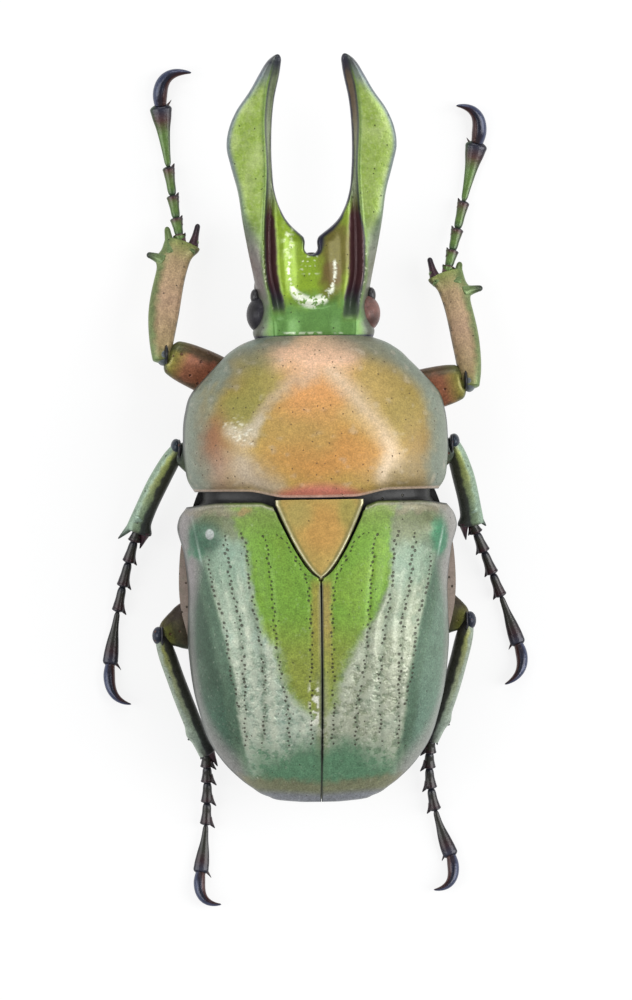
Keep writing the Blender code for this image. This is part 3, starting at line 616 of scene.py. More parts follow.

# %% [markdown]
# The colour of the pronotum is copper in the middle, inside a pale V whose point is at the
# head. The pale V, and a bright spot with painted glints on its left arm, are painted
# highlights of the satin sheen. Outside the V it is olive, then rust, and cool grey-green
# along the margins. The base has a rosy strip in front of the scutellum, and its rearmost
# edge is painted black as shade in the gap behind it. Each patch is wide and faint, so that
# the hues run into each other, and a fine noise breaks up their borders.

# %% Hues of the pronotum
COPPER = (0.66, 0.31, 0.105)
GOLD = (0.52, 0.31, 0.09)
OCHRE = (0.42, 0.29, 0.07)
ROSE = (0.56, 0.17, 0.13)
SHELL_PINK = (0.78, 0.50, 0.34)
OLIVE = (0.28, 0.26, 0.06)
RUST = (0.27, 0.12, 0.055)
COOL_GREY = (0.20, 0.24, 0.19)
STEEL = (0.16, 0.19, 0.15)
DUSTY = (0.30, 0.22, 0.15)
PRONOTUM_PATCHES = (
    ((0.3, -3.6), (2.6, 2.4), 0.8, GOLD),
    ((0.4, -4.6), (1.7, 1.2), 0.8, COPPER),
    ((-0.6, -1.8), (2.5, 1.1), 0.7, (0.54, 0.24, 0.06)),
    ((0.9, -2.7), (1.3, 0.7), 0.5, (0.44, 0.31, 0.09)),
    ((2.3, -4.9), (1.0, 1.1), 0.8, OLIVE),
    ((3.4, -3.8), (1.1, 1.0), 0.9, OLIVE),
    ((-2.7, -4.6), (1.0, 1.2), 0.7, (0.46, 0.33, 0.11)),
    ((-3.9, -3.4), (1.0, 1.4), 0.7, (0.30, 0.23, 0.06)),
    ((-4.4, -1.8), (0.8, 1.5), 0.8, (0.30, 0.19, 0.06)),
    ((4.45, -2.1), (0.75, 1.6), 0.95, RUST),
    ((3.9, -0.9), (1.6, 0.9), 0.7, DUSTY),
    ((-3.9, -0.8), (1.6, 0.9), 0.9, (0.23, 0.17, 0.07)),
)
# Pale bands painted as highlights of the sheen: the arms of the V, a peach streak and the bright spot on
# the left.
PRONOTUM_HIGHLIGHT_BANDS = (
    (((0.3, -5.5), (1.3, -4.7), (2.2, -3.9), (3.0, -3.1), (3.35, -2.5)), 0.3, 1.2, 0.62,
     (0.52, 0.40, 0.28)),
    (((-0.6, -5.4), (-1.6, -4.3), (-2.4, -3.2), (-2.9, -2.4), (-3.1, -1.6), (-2.8, -0.9)), 0.36, 1.2, 0.75,
     (0.66, 0.52, 0.36)),
    (((-1.2, -3.6), (-2.2, -3.0)), 0.28, 1.2, 0.45, (0.68, 0.46, 0.20)),
    (((3.3, -1.7), (3.0, -0.9), (1.9, -0.55)), 0.36, 1.2, 0.6, (0.44, 0.37, 0.29)),
    (((3.6, -2.75), (3.25, -3.05), (2.5, -3.4)), 0.2, 1.5, 0.6, (0.62, 0.56, 0.44)),
)
print("pronotum:", len(PRONOTUM_PATCHES), "patches and", len(PRONOTUM_HIGHLIGHT_BANDS), "bands")

# %% Paint of the pronotum
def paint_pronotum(points):
    slow = wobble(points, 1.3, 1)
    fast = wobble(points, 0.35, 2)
    spots = points + 0.25 * np.column_stack((slow, -slow, slow))
    spots = spots + 0.09 * np.column_stack((fast, -fast, fast))
    from_middle = np.abs(spots[:, 0])
    share = from_middle / pronotum_half_width(spots[:, 1])
    exact_share = np.abs(points[:, 0]) / pronotum_half_width(points[:, 1])
    to_base = -points[:, 1] - base_bow(points[:, 0])
    painted_glints = step(0.35, 0.8, wobble(points, 0.1, 31)) * patch(spots, (3.4, -3.0), (0.45, 0.55), 0.8)
    neck = step(-5.0, -6.1, spots[:, 1]) * step(2.5, 1.3, from_middle)
    corner = step(-4.6, -5.9, spots[:, 1] + 0.5 * (3.6 - from_middle))
    rosy = step(0.85, 0.3, to_base + 0.12 * points[:, 0] ** 2) * step(2.6, 1.6, from_middle)
    below = points[:, 2] < pronotum_margin(points[:, 1]) - 0.1
    layers = [(patch(spots, centre, radii, 1.3) * strength, colour)
              for centre, radii, strength, colour in PRONOTUM_PATCHES]
    layers += [(band(spots, line, half_width, soft) * strength, colour)
               for line, half_width, soft, strength, colour in PRONOTUM_HIGHLIGHT_BANDS]
    layers += [
        # Painted glints in the bright spot on the left.
        (painted_glints * 0.7, (0.80, 0.78, 0.64)),
        (neck * 0.85, SHELL_PINK),
        (corner * 0.85, STEEL),
        (step(0.76, 0.95, share) * 0.95, COOL_GREY),
        (rosy * 0.9, ROSE),
        (step(0.5, 1.1, fast) * 0.25, (0.60, 0.52, 0.40)),
        (step(0.982, 0.996, exact_share), (0.05, 0.06, 0.05)),
        (below.astype(float), (0.10, 0.11, 0.07)),
        (step(0.16, 0.08, to_base) * 0.6, (0.60, 0.45, 0.36)),
        # Painted shade: the rearmost edge is black, as the gap behind the base lies in shadow.
        (step(0.05, 0.0, to_base), (0.02, 0.02, 0.02)),
    ]
    return lay_all(ground(points, OCHRE), layers)


store_paint(pronotum_mesh, paint_pronotum(pronotum_points))
pronotum_finish = cuticle("pronotum_finish", 0.3, 0.46, 0.08, 0.27, 0.031, 0.6, grain=0.3,
                          pit_shade=(0.13, 0.085, 0.045, 1.0))
dress(as_object(pronotum_mesh), pronotum_finish, "pronotum", "pronotum")

# %% [markdown]
# ## The elytra
#
# Each wing case is a vaulted sheet of even thickness. Its back is nearly flat beside the
# suture, falls away behind a strong rib, and turns down into a steep side. The shoulder
# has a knob, the callus. A grid is bent to that form, the ribs are raised by moving its
# points up, and Solidify gives the sheet its thickness inwards.

# %% Measures of the elytra
ELYTRA_FRONT_Y = 0.25
ELYTRA_END_Y = 12.96
elytra_half_width = smooth_curve(
    (0.25, 5.55), (0.6, 5.82), (1.0, 5.95), (2.2, 5.72), (3.4, 5.57), (6.5, 5.55), (8.8, 5.2),
    (10.75, 4.46), (11.7, 3.68), (12.3, 2.95), (12.7, 2.25), (12.9, 1.5), (12.96, 0.8))
elytra_top = smooth_curve(
    (0.25, 7.25), (2.0, 7.5), (5.0, 7.55), (8.0, 7.1), (10.0, 6.35), (11.5, 5.45), (12.5, 4.75),
    (12.96, 4.3))
elytra_margin = smooth_curve((0.25, 4.3), (3.0, 3.95), (8.0, 3.75), (11.0, 3.75), (12.96, 3.95))
ELYTRA_ROUNDNESS = 2.5
SUTURE_GAP = 0.03
SCUTELLUM_GROOVE = 0.11
SCUTELLUM_BASE_Y = 0.25
SCUTELLUM_TIP_Y = 3.4
SCUTELLUM_HALF_WIDTH = 1.9


def scutellum_edge(y):
    """Half the width of the scutellum at y."""
    share = (y - SCUTELLUM_BASE_Y) / (SCUTELLUM_TIP_Y - SCUTELLUM_BASE_Y)
    return SCUTELLUM_HALF_WIDTH * np.clip(1 - share, 0.0, 1.0) ** 0.66


print("elytra", round(ELYTRA_END_Y - ELYTRA_FRONT_Y, 2), "mm long")

# %% [markdown]
# Five ribs and five rows of punctures run along each elytron. Every one is a curve that
# gives its distance from the suture at each place along the body, so the same curves shape
# the ridges, place the pits and guide the paint.

# %% Ribs and rows
lateral_rib = smooth_curve(
    (0.3, 5.2), (2.3, 5.0), (3.0, 4.77), (4.05, 4.5), (5.06, 4.26), (6.0, 4.03), (6.8, 3.87),
    (7.5, 3.69), (9.3, 3.5), (10.75, 3.2), (11.5, 3.0), (12.1, 2.65), (12.9, 1.5))
inner_rib = smooth_curve(
    (0.8, 3.35), (2.5, 3.15), (3.3, 3.05), (4.05, 2.9), (4.6, 2.68), (5.1, 2.42), (5.7, 2.3),
    (7.2, 2.2), (9.0, 2.13), (12.0, 1.9))
middle_rib = smooth_curve(
    (0.8, 3.65), (2.5, 3.55), (4.05, 3.37), (4.7, 3.23), (5.4, 3.12), (6.5, 3.05), (9.0, 2.85), (12.0, 2.4))
outer_rib = smooth_curve(
    (1.5, 4.25), (3.2, 4.22), (4.05, 4.02), (5.2, 3.75), (6.5, 3.56), (9.0, 3.38), (12.0, 2.6))
border_rib = smooth_curve((5.8, 1.9), (6.6, 1.55), (7.4, 1.25), (8.3, 1.0), (9.6, 0.8))
ROWS = {
    "A": smooth_curve(
        (1.5, 4.75), (2.7, 4.72), (3.9, 4.5), (4.7, 4.27), (5.8, 4.03), (7.1, 3.93), (9.0, 3.5)),
    "B": smooth_curve(
        (1.9, 4.05), (2.8, 3.9), (3.8, 3.8), (4.7, 3.54), (5.8, 3.4), (8.0, 3.31), (10.3, 3.22)),
    "C": smooth_curve(
        (1.5, 3.3), (2.2, 3.13), (3.2, 3.04), (4.5, 2.9), (5.6, 2.68), (6.7, 2.53), (8.7, 2.44),
        (11.0, 2.58)),
    "D": smooth_curve(
        (1.1, 2.45), (2.0, 2.31), (3.6, 2.12), (4.5, 2.04), (5.8, 1.98), (6.8, 1.85), (7.5, 1.76),
        (9.0, 1.48), (10.7, 1.42)),
    "E": smooth_curve(
        (1.4, 1.94), (1.9, 1.45), (2.7, 1.0), (3.4, 0.66), (4.25, 0.5), (6.4, 0.48), (8.9, 0.46),
        (10.5, 0.45)),
}
print("elytron rows:", ", ".join(ROWS))

# %% Form of an elytron
CALLUS_PLACE = (4.95, 1.45)


def front_edge(x):
    """Where an elytron begins at a distance x from the suture."""
    rounded_corner = 0.2 * step(2.6, 1.85, x)
    return 0.12 + rounded_corner + 0.2 * step(4.2, 5.8, x)


def elytron_ground(across, along):
    """Distance from the suture, y and height of the plain vault."""
    v = end_spacing(along, 0.25)
    y = ELYTRA_FRONT_Y + (ELYTRA_END_Y - ELYTRA_FRONT_Y) * v
    width = elytra_half_width(y)
    beside_plate = np.where(y < SCUTELLUM_TIP_Y + 0.12, scutellum_edge(y) + SCUTELLUM_GROOVE, 0.0)
    start = np.maximum(SUTURE_GAP * (1 - 0.6 * step(10.8, 11.6, y)), beside_plate)
    x = start + (width - start) * np.sin(across * math.pi / 2) ** 0.9
    y = y + (front_edge(x) - ELYTRA_FRONT_Y) * step(1.6, 0.25, y)
    return x, y, vault(x, width, elytra_top(y), elytra_margin(y), ELYTRA_ROUNDNESS)


def elytron_relief(x, y):
    """How far ribs, callus and edges stand above the vault."""
    rear = step(1.5, 3.5, y) * step(12.6, 11.0, y)
    beside_green = step(5.6, 6.8, y) * step(9.4, 8.4, y)
    rise = np.zeros(len(x))
    for rib, height, half_width, where in (
        (lateral_rib, 0.045, 0.22, rear),
        (inner_rib, 0.055, 0.2, rear),
        (middle_rib, 0.03, 0.18, rear),
        (outer_rib, 0.025, 0.16, rear),
        (border_rib, 0.03, 0.16, beside_green),
    ):
        rise += height * bump(x - rib(y), half_width) * where
    for line in ROWS.values():
        rise -= 0.022 * bump(x - line(y), 0.1) * rear
    rise += 0.20 * bump(np.hypot((x - CALLUS_PLACE[0]) / 0.75, (y - CALLUS_PLACE[1]) / 0.8), 1.0)
    rise += 0.04 * bump(x - SUTURE_GAP, 0.16) * step(3.6, 4.6, y)
    rise -= 0.04 * bump(x - 0.4, 0.2) * step(6.5, 8.0, y) * step(12.0, 10.5, y)
    front = y - front_edge(x)
    rise += 0.04 * bump(front - 0.22, 0.14) - 0.16 * step(0.14, 0.0, front)
    rise -= 0.05 * step(0.10, 0.0, elytra_half_width(y) - x)
    return rise


x, y, _ = elytron_ground(np.linspace(0, 1, 200), np.full(200, 0.5))
print("relief halfway along:", *np.round((elytron_relief(x, y).min(), elytron_relief(x, y).max()), 3), "mm")

# %% [markdown]
# Each elytron is a mid green, and three fields lie over it: the bright green triangle beside
# the suture, the pearly field with its ribs, and a dark green band that separates the pearl
# from the steep flank. The pale of the pearly field and its ribs is partly the case's own
# opal colour and partly a painted reflection of the side lamps. Each has its own border
# curve, broken up by a fast noise. The two sides of a real beetle are never exact mirror
# images, so their borders and noises differ.

# %% Hues and fields of the elytra
LEAF = (0.165, 0.32, 0.035)
MOSS = (0.24, 0.28, 0.045)
FIELD_GREEN = (0.16, 0.24, 0.15)
# The pale of the pearl is partly a painted reflection of the lamps.
PEARL_HIGHLIGHT = (0.52, 0.56, 0.43)
MINT = (0.25, 0.38, 0.31)
DEEP_GREEN = (0.06, 0.12, 0.075)
EMERALD = (0.02, 0.20, 0.09)
APEX_TEAL = (0.095, 0.22, 0.12)
LOOKS = {
    LEFT: {
        "green_border": smooth_curve(
            (0.3, 4.0), (0.9, 3.72), (2.2, 3.12), (4.0, 2.86), (5.4, 2.5), (6.5, 1.85), (7.6, 1.55),
            (8.6, 1.05), (9.2, 0.5), (9.8, -0.2)),
        "seed": 3, "rear_lean": 0.75, "minty": 0.5, "ribs": (0.85, 0.65, 0.7, 0.35, 0.8), "painted_gleam": 0.95,
        "pearl": (0.29, 0.37, 0.28), "strip": (0.30, 0.25, 0.045), "flank": (0.038, 0.08, 0.048),
        "rear_flank": (0.055, 0.125, 0.08), "margin": (0.27, 0.24, 0.24),
    },
    RIGHT: {
        "green_border": smooth_curve(
            (0.3, 3.3), (1.3, 3.07), (3.0, 2.91), (4.2, 2.74), (5.0, 2.35), (5.7, 1.86), (6.8, 1.05),
            (7.6, 0.66), (9.0, 0.35), (9.6, -0.2)),
        "seed": 5, "rear_lean": 0.4, "minty": 0.3, "ribs": (0.65, 0.45, 0.6, 0.5, 0.3), "painted_gleam": 0.4,
        "pearl": (0.27, 0.30, 0.20), "strip": (0.30, 0.21, 0.05), "flank": (0.13, 0.21, 0.15),
        "rear_flank": (0.13, 0.22, 0.16), "margin": (0.30, 0.28, 0.26),
    },
}


def elytron_fields(points, side):
    """Noises and the masks of the fields, under the names that the layers use."""
    look = LOOKS[side]
    x, y = points[:, 0] * side, points[:, 1]
    slow = wobble(points, 1.1, look["seed"])
    fast = wobble(points, 0.28, look["seed"] + 1)
    fine = wobble(points, 0.11, look["seed"] + 2)
    inside_green = look["green_border"](y) - x + 0.10 * slow + 0.09 * fast + 0.05 * fine
    softness = 0.16 + 0.3 * step(4.0, 8.0, y)
    green = step(-softness, softness, inside_green)
    beyond_rib = x - lateral_rib(y) + 0.04 * fast
    rear_end = y - look["rear_lean"] * (np.clip(x, 1.0, 3.0) - 1) + 0.3 * slow + 0.12 * fast
    pearl = (1 - green) * step(0.16, -0.14, beyond_rib) * step(11.2, 9.5, rear_end)
    return SimpleNamespace(
        look=look, on_left=side == LEFT, points=points, x=x, y=y, slow=slow, fast=fast, fine=fine,
        green=green, beyond_rib=beyond_rib, pearl=pearl,
        flat=np.column_stack((x + 0.14 * slow + 0.05 * fast, y + 0.2 * slow + 0.1 * fast, points[:, 2])),
        hammered=pearl * (0.12 + 0.88 * step(4.0, 9.0, y)) * step(0.6, 1.6, y),
        from_margin=elytra_half_width(y) - x, from_front=y - front_edge(x))


print("the two elytra differ in", ", ".join(LOOKS[LEFT]))

# %% [markdown]
# The layers of each field are listed in the order in which they are laid. The pearl comes
# first, with pale ribs that are partly painted highlights and rows darkened with painted
# shade, then the green triangle and its copper strip.

# %% Layers of the pearly field and the green triangle
def pearl_layers(at):
    layers = [(at.pearl * (0.3 + 0.7 * step(1.2, 7.0, at.y)), at.look["pearl"])]
    if at.on_left:
        layers.append((at.pearl * step(6.5, 8.5, at.y) * 0.6, (0.38, 0.48, 0.38)))
    else:
        layers.append((at.pearl * step(5.5, 3.5, at.y) * 0.5, (0.17, 0.20, 0.12)))
    return layers + [
        (at.pearl * step(0.1, 0.9, at.slow) * at.look["minty"], MINT),
        (at.pearl * step(0.2, 1.0, at.fast) * 0.35, PEARL_HIGHLIGHT),
        (at.pearl * step(-0.2, -1.0, at.fast) * 0.45, (0.17, 0.24, 0.17)),
    ]


def rib_layers(at):
    """Pale ribs, partly painted highlights, rows of punctures in painted shade and two hues at the
    shoulder.
    """
    layers = []
    ribs = (inner_rib, middle_rib, border_rib, outer_rib, lateral_rib)
    # The pale ribs are partly painted highlights on their crests.
    for rib, strength in zip(ribs, at.look["ribs"]):
        half_width = 0.12 + 0.05 * step(4.0, 8.0, at.y)
        ridge = bump(at.x - rib(at.y) - 0.07 * at.fast, half_width) * step(1.4, 3.6, at.y)
        ridge = ridge * (0.65 + 0.3 * at.fine + 0.2 * at.fast)
        if rib is border_rib:
            ridge = ridge * step(5.6, 6.8, at.y)
        layers.append((ridge * strength * np.maximum(at.pearl, 0.06), PEARL_HIGHLIGHT))
    # Painted shade in the valleys along the rows, deepest in row C.
    for name, line in ROWS.items():
        deep = 0.75 if name == "C" else 0.45
        painted_row_shade = bump(at.x - line(at.y) - 0.04 * at.fast, 0.13) * step(1.6, 3.0, at.y) * at.pearl
        layers.append((painted_row_shade * deep, (0.15, 0.20, 0.13)))
    return layers + [
        (patch(at.flat, (4.1, 2.6), (0.9, 1.1), 1.0) * 0.6, (0.17, 0.27, 0.19)),
        (patch(at.flat, (4.0, 0.9), (1.3, 0.9), 1.0) * 0.8, (0.15, 0.17, 0.075)),
    ]


def green_layers(at):
    strip = step(0.56, 0.3, at.x + 0.05 * at.fast) * step(3.2, 3.9, at.y) * step(8.0, 5.2, at.y)
    sutural = step(0.4, 0.12, at.x) * step(7.0, 8.4, at.y) * step(12.8, 11.6, at.y)
    return [
        (at.green, LEAF),
        (at.green * step(-0.1, 0.9, at.slow) * 0.4, (0.22, 0.33, 0.035)),
        (at.green * step(4.5, 7.5, at.y), MOSS),
        (at.green * step(2.0, 0.4, at.y) * 0.55, (0.20, 0.24, 0.07)),
        (strip * 0.85, at.look["strip"]),
        (sutural * 0.75, (0.24, 0.26, 0.13)),
    ]


print("each elytron has", len(LOOKS[LEFT]["ribs"]), "pale ribs")

# %% [markdown]
# The steep flank is dark on the left case and paler on the right one, and it turns rosy
# grey along the margin; the flank's darkness, and the difference between the two sides, is
# partly painted shade. The end of the case is teal, then brown.
# The front edge, the suture and the margin are drawn last. The front edge and the suture are
# painted black as shade in the gaps, and with them come pale flecks that are partly painted
# glints, a painted burst of highlight beside the suture and a small pale grey oval on one
# shoulder.

# %% Layers of the flank, the ends and the specks
def flank_layers(at):
    flank = step(0.3, 0.7, at.beyond_rib) * step(0.9, 1.8, at.y)
    dark = step(-0.04, 0.2, at.beyond_rib) * step(0.8, 0.3, at.beyond_rib)
    dark = dark * step(0.9, 1.8, at.y) * step(11.8, 10.0, at.y)
    rim = 0.24 + 0.42 * step(5.0, 1.5, at.y) + 0.5 * step(8.5, 11.5, at.y)
    rosy = step(rim * 1.6, rim * 0.3, at.from_margin)
    rosy = rosy * (0.55 + 0.45 * step(5.0, 3.0, at.y) + 0.2 * step(9.0, 11.0, at.y))
    return [
        # The flank colours carry painted shade of the steep side as well as its own green.
        (flank * 0.95, at.look["flank"]),
        (flank * step(-0.1, 0.8, at.slow + 0.4 * at.fast) * 0.4, (0.11, 0.18, 0.12)),
        (flank * step(7.5, 9.5, at.y) * 0.8, at.look["rear_flank"]),
        (dark * 0.85, DEEP_GREEN),
        (rosy * 0.9, at.look["margin"]),
    ]


def end_layers(at):
    """The apex, the emerald shoulder with its painted highlight, and the front edge, black as painted
    shade.
    """
    apex = step(9.9, 11.2, at.y + 0.2 * at.slow + 0.1 * at.fast)
    painted_gleam = bump(at.x - 5.22 + 0.2 * (at.y - 1.7), 0.045) * bump(at.y - 1.9, 0.6)
    layers = [
        (apex * step(3.6, 2.6, at.x) * 0.9, APEX_TEAL),
        (step(11.9, 12.35, at.y + 0.1 * at.x + 0.1 * at.fast) * 0.8, (0.20, 0.18, 0.10)),
        (step(12.45, 12.8, at.y + 0.06 * at.x), (0.19, 0.20, 0.22)),
        (patch(at.flat, (5.15, 1.75), (0.36, 0.75), 1.0) * 0.85, EMERALD),
        (patch(at.flat, (4.3, 0.45), (1.3, 0.22), 0.8) * 0.6, (0.26, 0.22, 0.15)),
        # A painted highlight on the edge of the shoulder.
        (painted_gleam * at.look["painted_gleam"], (0.70, 0.85, 0.74)),
    ]
    if at.on_left:
        layers.append((patch(at.flat, (3.1, 0.4), (0.25, 0.14), 1.0) * 0.45, (0.40, 0.20, 0.08)))
    return layers + [
        (bump(at.from_front - 0.16, 0.06) * step(5.4, 5.0, at.x) * 0.6, (0.44, 0.42, 0.33)),
        # Painted shade: the front edge is black, as the gap under the pronotum lies in shadow.
        (step(0.1, 0.02, at.from_front), (0.02, 0.02, 0.02)),
    ]


def speck_layers(at):
    """Pale flecks, partly painted glints, the suture in painted shade, the dark margin, and the painted
    highlights and grey oval of the left case.
    """
    flecks_and_glints = step(0.75, 1.1, at.fine + 0.3 * at.fast)
    suture = step(SUTURE_GAP + 0.045, SUTURE_GAP, at.x) * step(3.4, 3.8, at.y)
    layers = [
        # Pale flecks, partly painted glints on the hammered pearl.
        (flecks_and_glints * (0.12 + 0.5 * at.hammered), (0.66, 0.68, 0.56)),
        # Painted shade: the seam between the two cases is black.
        (suture, (0.015, 0.02, 0.015)),
        (step(0.09, 0.02, at.from_margin) * 0.8, (0.03, 0.04, 0.035)),
    ]
    if not at.on_left:
        return layers
    painted_glint_burst = step(-0.1, 0.35, at.fast + 0.5 * at.fine) * step(0.66, 0.45, at.x) * step(0.1, 0.2, at.x)
    painted_suture_highlight = bump(at.x - SUTURE_GAP - 0.07, 0.025) * step(3.6, 4.2, at.y) * step(7.5, 6.5, at.y)
    return layers + [
        # A painted burst of highlight beside the suture.
        (painted_glint_burst * step(7.7, 8.2, at.y) * step(9.9, 9.4, at.y), (0.80, 0.80, 0.68)),
        (patch(at.points, (4.85, 1.62), (0.7, 0.7), 0.9) * 0.85, (0.05, 0.12, 0.075)),
        # A small pale grey oval on the shoulder, inside a dark green patch.
        (patch(at.points, (4.68, 1.48), (0.18, 0.22), 0.3), (0.33, 0.36, 0.34)),
        # A painted highlight along the edge beside the suture.
        (painted_suture_highlight * 0.4, (0.50, 0.46, 0.30)),
    ]


ELYTRON_PARTS = (pearl_layers, rib_layers, green_layers, flank_layers, end_layers, speck_layers)
print("an elytron is painted in", len(ELYTRON_PARTS), "parts")

# %% [markdown]
# Both cases come from the same grid. The right one is the left one seen in a mirror, so its
# faces are flipped before Solidify thickens it inwards.

# %% The two elytra
ELYTRON_COLUMNS = 150
ELYTRON_ROWS = 320
ELYTRON_THICKNESS = 0.3


def row_attribute(x, y):
    """For each point the signed distance to the nearest row, the steps along it and its number."""
    away = np.full(len(x), 9.0)
    index = np.zeros(len(x))
    for i, (name, line) in enumerate(ROWS.items()):
        first, last = (2.4, 9.0) if name == "A" else (1.4, 10.6)
        lost = np.where((y < first) | (y > last), 5.0, 0.0)
        distance = x - line(y) + lost
        index = np.where(np.abs(distance) < np.abs(away), i, index)
        away = np.where(np.abs(distance) < np.abs(away), distance, away)
    return away, y / ROW_STEP + index * 0.37, index


elytra_finish = cuticle("elytra_finish", 0.3, 0.44, 0.12, 0.3, 0.03, 0.3, grain=0.4,
                        hammered=True, rows=True)
for word, side in SIDES.items():
    mesh, across, along = sheet("elytron_case_" + word, ELYTRON_COLUMNS, ELYTRON_ROWS)
    x, y, z = elytron_ground(across, along)
    points = np.column_stack((x * side, y, z + elytron_relief(x, y)))
    bend(mesh, points)
    fields = elytron_fields(points, side)
    store_paint(mesh, lay_parts(ground(points, FIELD_GREEN), fields, ELYTRON_PARTS))
    store(mesh, "row", row_attribute(x, y))
    store(mesh, "texture", [fields.hammered] * 3)
    if side == RIGHT:
        mesh.flip_normals()
    case = as_object(mesh, 60)
    thicken(case, ELYTRON_THICKNESS)
    dress(case, elytra_finish, "elytra", "elytron_" + word)

# %% [markdown]
# ## The scutellum
#
# The triangle between the wing cases has a pale raised rim and a black groove around it; the
# pale of the rim is a painted highlight, and the black is painted shade in the groove. It
# could be extruded from three corners, but its sides are curved. So it is a grid whose rows
# narrow towards the tip. It begins under the pronotum, and Solidify gives it a thick edge.

# %% The scutellum
SCUTELLUM_UNDER_SHIELD = 0.18
SCUTELLUM_THICKNESS = 0.5
mesh, across, along = sheet("scutellum_plate", 70, 110)
plate_length = SCUTELLUM_TIP_Y - 0.05 - SCUTELLUM_BASE_Y + SCUTELLUM_UNDER_SHIELD
y = SCUTELLUM_BASE_Y - SCUTELLUM_UNDER_SHIELD + plate_length * along
edge = np.maximum(scutellum_edge(y), 0.02)
x = (across * 2 - 1) * edge
from_edge = (edge - np.abs(x)) * 0.85
z = elytra_top(y) - 0.06 + 0.03 * bump(from_edge - 0.08, 0.05) - 0.10 * step(0.07, 0.0, from_edge)
z = z + 0.05 * (1 - (x / edge) ** 2)
points = np.column_stack((x, y, z))
bend(mesh, points)
store_paint(mesh, lay_all(ground(points, (0.52, 0.36, 0.10)), [
    (patch(points, (-0.1, 1.3), (0.9, 1.0), 1.0) * 0.7, (0.62, 0.33, 0.09)),
    (patch(points, (0.9, 0.7), (0.6, 0.6), 1.0) * 0.6, (0.42, 0.36, 0.11)),
    (patch(points, (-1.2, 0.6), (0.4, 0.7), 1.0) * 0.6, (0.34, 0.33, 0.08)),
    (bump(from_edge - 0.17, 0.07) * 0.7, (0.20, 0.20, 0.07)),
    # A painted highlight along the rim, then painted shade at the edge, in the groove.
    (bump(from_edge - 0.07, 0.045), (0.62, 0.60, 0.40)),
    (step(0.035, 0.0, from_edge), (0.02, 0.02, 0.02)),
]))
scutellum = as_object(mesh, 60)
thicken(scutellum, SCUTELLUM_THICKNESS)
scutellum_finish = cuticle("scutellum_finish", 0.45, 0.34, 0.25, 0.4, 0.03, 0.35)
dress(scutellum, scutellum_finish, "scutellum", "scutellum")

# %% [markdown]
# ## The head and its horns
#
# The male's head runs out into two flat horns, curved like the arms of a lyre, with a
# rounded notch between them. A sharp keel runs from beside each eye to the tip of its
# horn. Inside the keel lies a deep dark groove, and between the grooves the face is
# hollowed like a shallow dish, whose rim catches the light. One half is a pulled sphere
# with its rings across the body. The wall on the middle plane is taken away, and the half
# is mirrored and merged, so that head and horns are one skin.

# %% Measures of the head
HEAD_BACK_Y = -6.75
NOTCH_RADIUS = 0.28
NOTCH_CENTRE_Y = -10.68
outer_edge = smooth_curve(
    (-18.94, 1.62), (-18.5, 1.98), (-18.1, 2.22), (-17.4, 2.62), (-16.5, 3.23), (-15.7, 3.55),
    (-15.0, 3.63), (-14.2, 3.46), (-13.1, 3.17), (-11.8, 2.98), (-10.5, 2.74), (-9.3, 2.5),
    (-8.6, 2.38), (-7.9, 2.38), (-7.4, 2.5), (-7.1, 2.6), (-6.75, 2.5))
horn_inside = smooth_curve(
    (-18.94, 1.24), (-18.2, 1.34), (-17.0, 1.59), (-15.2, 1.72), (-14.0, 1.69), (-13.1, 1.6),
    (-12.3, 1.34), (-11.85, 1.08), (-11.5, 0.74), (-11.3, 0.5), (-11.15, 0.33), (-11.0, 0.27),
    (-10.68, 0.28))
keel_line = smooth_curve(
    (-18.94, 1.5), (-17.8, 1.87), (-16.5, 2.05), (-14.0, 2.0), (-11.0, 2.12), (-9.3, 2.05),
    (-8.4, 1.85), (-6.75, 1.72))
head_top = smooth_curve(
    (-18.94, 5.9), (-17.0, 5.5), (-14.0, 4.95), (-11.1, 4.6), (-9.0, 4.65), (-7.4, 5.0), (-6.75, 4.95))
head_under = smooth_curve(
    (-18.94, 5.5), (-17.0, 4.9), (-14.0, 4.25), (-11.1, 3.75), (-9.5, 3.2), (-8.4, 2.95), (-6.75, 3.0))
keel_height = smooth_curve(
    (-18.94, 0.01), (-17.0, 0.03), (-13.0, 0.05), (-11.0, 0.1), (-8.9, 0.1), (-8.1, 0.02))
groove_depth = smooth_curve(
    (-18.94, 0.0), (-17.0, 0.08), (-12.5, 0.2), (-11.0, 0.34), (-8.8, 0.32), (-8.2, 0.26), (-7.6, 0.02))
print("head and horns", round(HEAD_BACK_Y - HORN_TIP_Y, 2), "mm long, notch", NOTCH_RADIUS * 2, "mm wide")

# %% The edges of one half
def inner_edge(y):
    """Where the half ends inwards: the middle plane, the notch and then the horn's inner edge."""
    circle = np.sqrt(np.clip(NOTCH_RADIUS ** 2 - (y - NOTCH_CENTRE_Y) ** 2, 0.0, None))
    beside = np.where(y > NOTCH_CENTRE_Y + NOTCH_RADIUS, 0.0, circle)
    return np.where(y > NOTCH_CENTRE_Y, beside, horn_inside(y))


def from_notch(x, y):
    """Distance from the rim of the notch or from the horn's inner edge."""
    round_end = np.hypot(x, y - NOTCH_CENTRE_Y) - NOTCH_RADIUS
    return np.maximum(np.where(y > NOTCH_CENTRE_Y, round_end, x - inner_edge(y)), 0.0)


print("a horn is", round(float(outer_edge(-15.0) - inner_edge(-15.0)), 2), "mm wide at its widest")

# %% The surface of one half
HEAD_RINGS = 280
HEAD_COLUMNS = 150


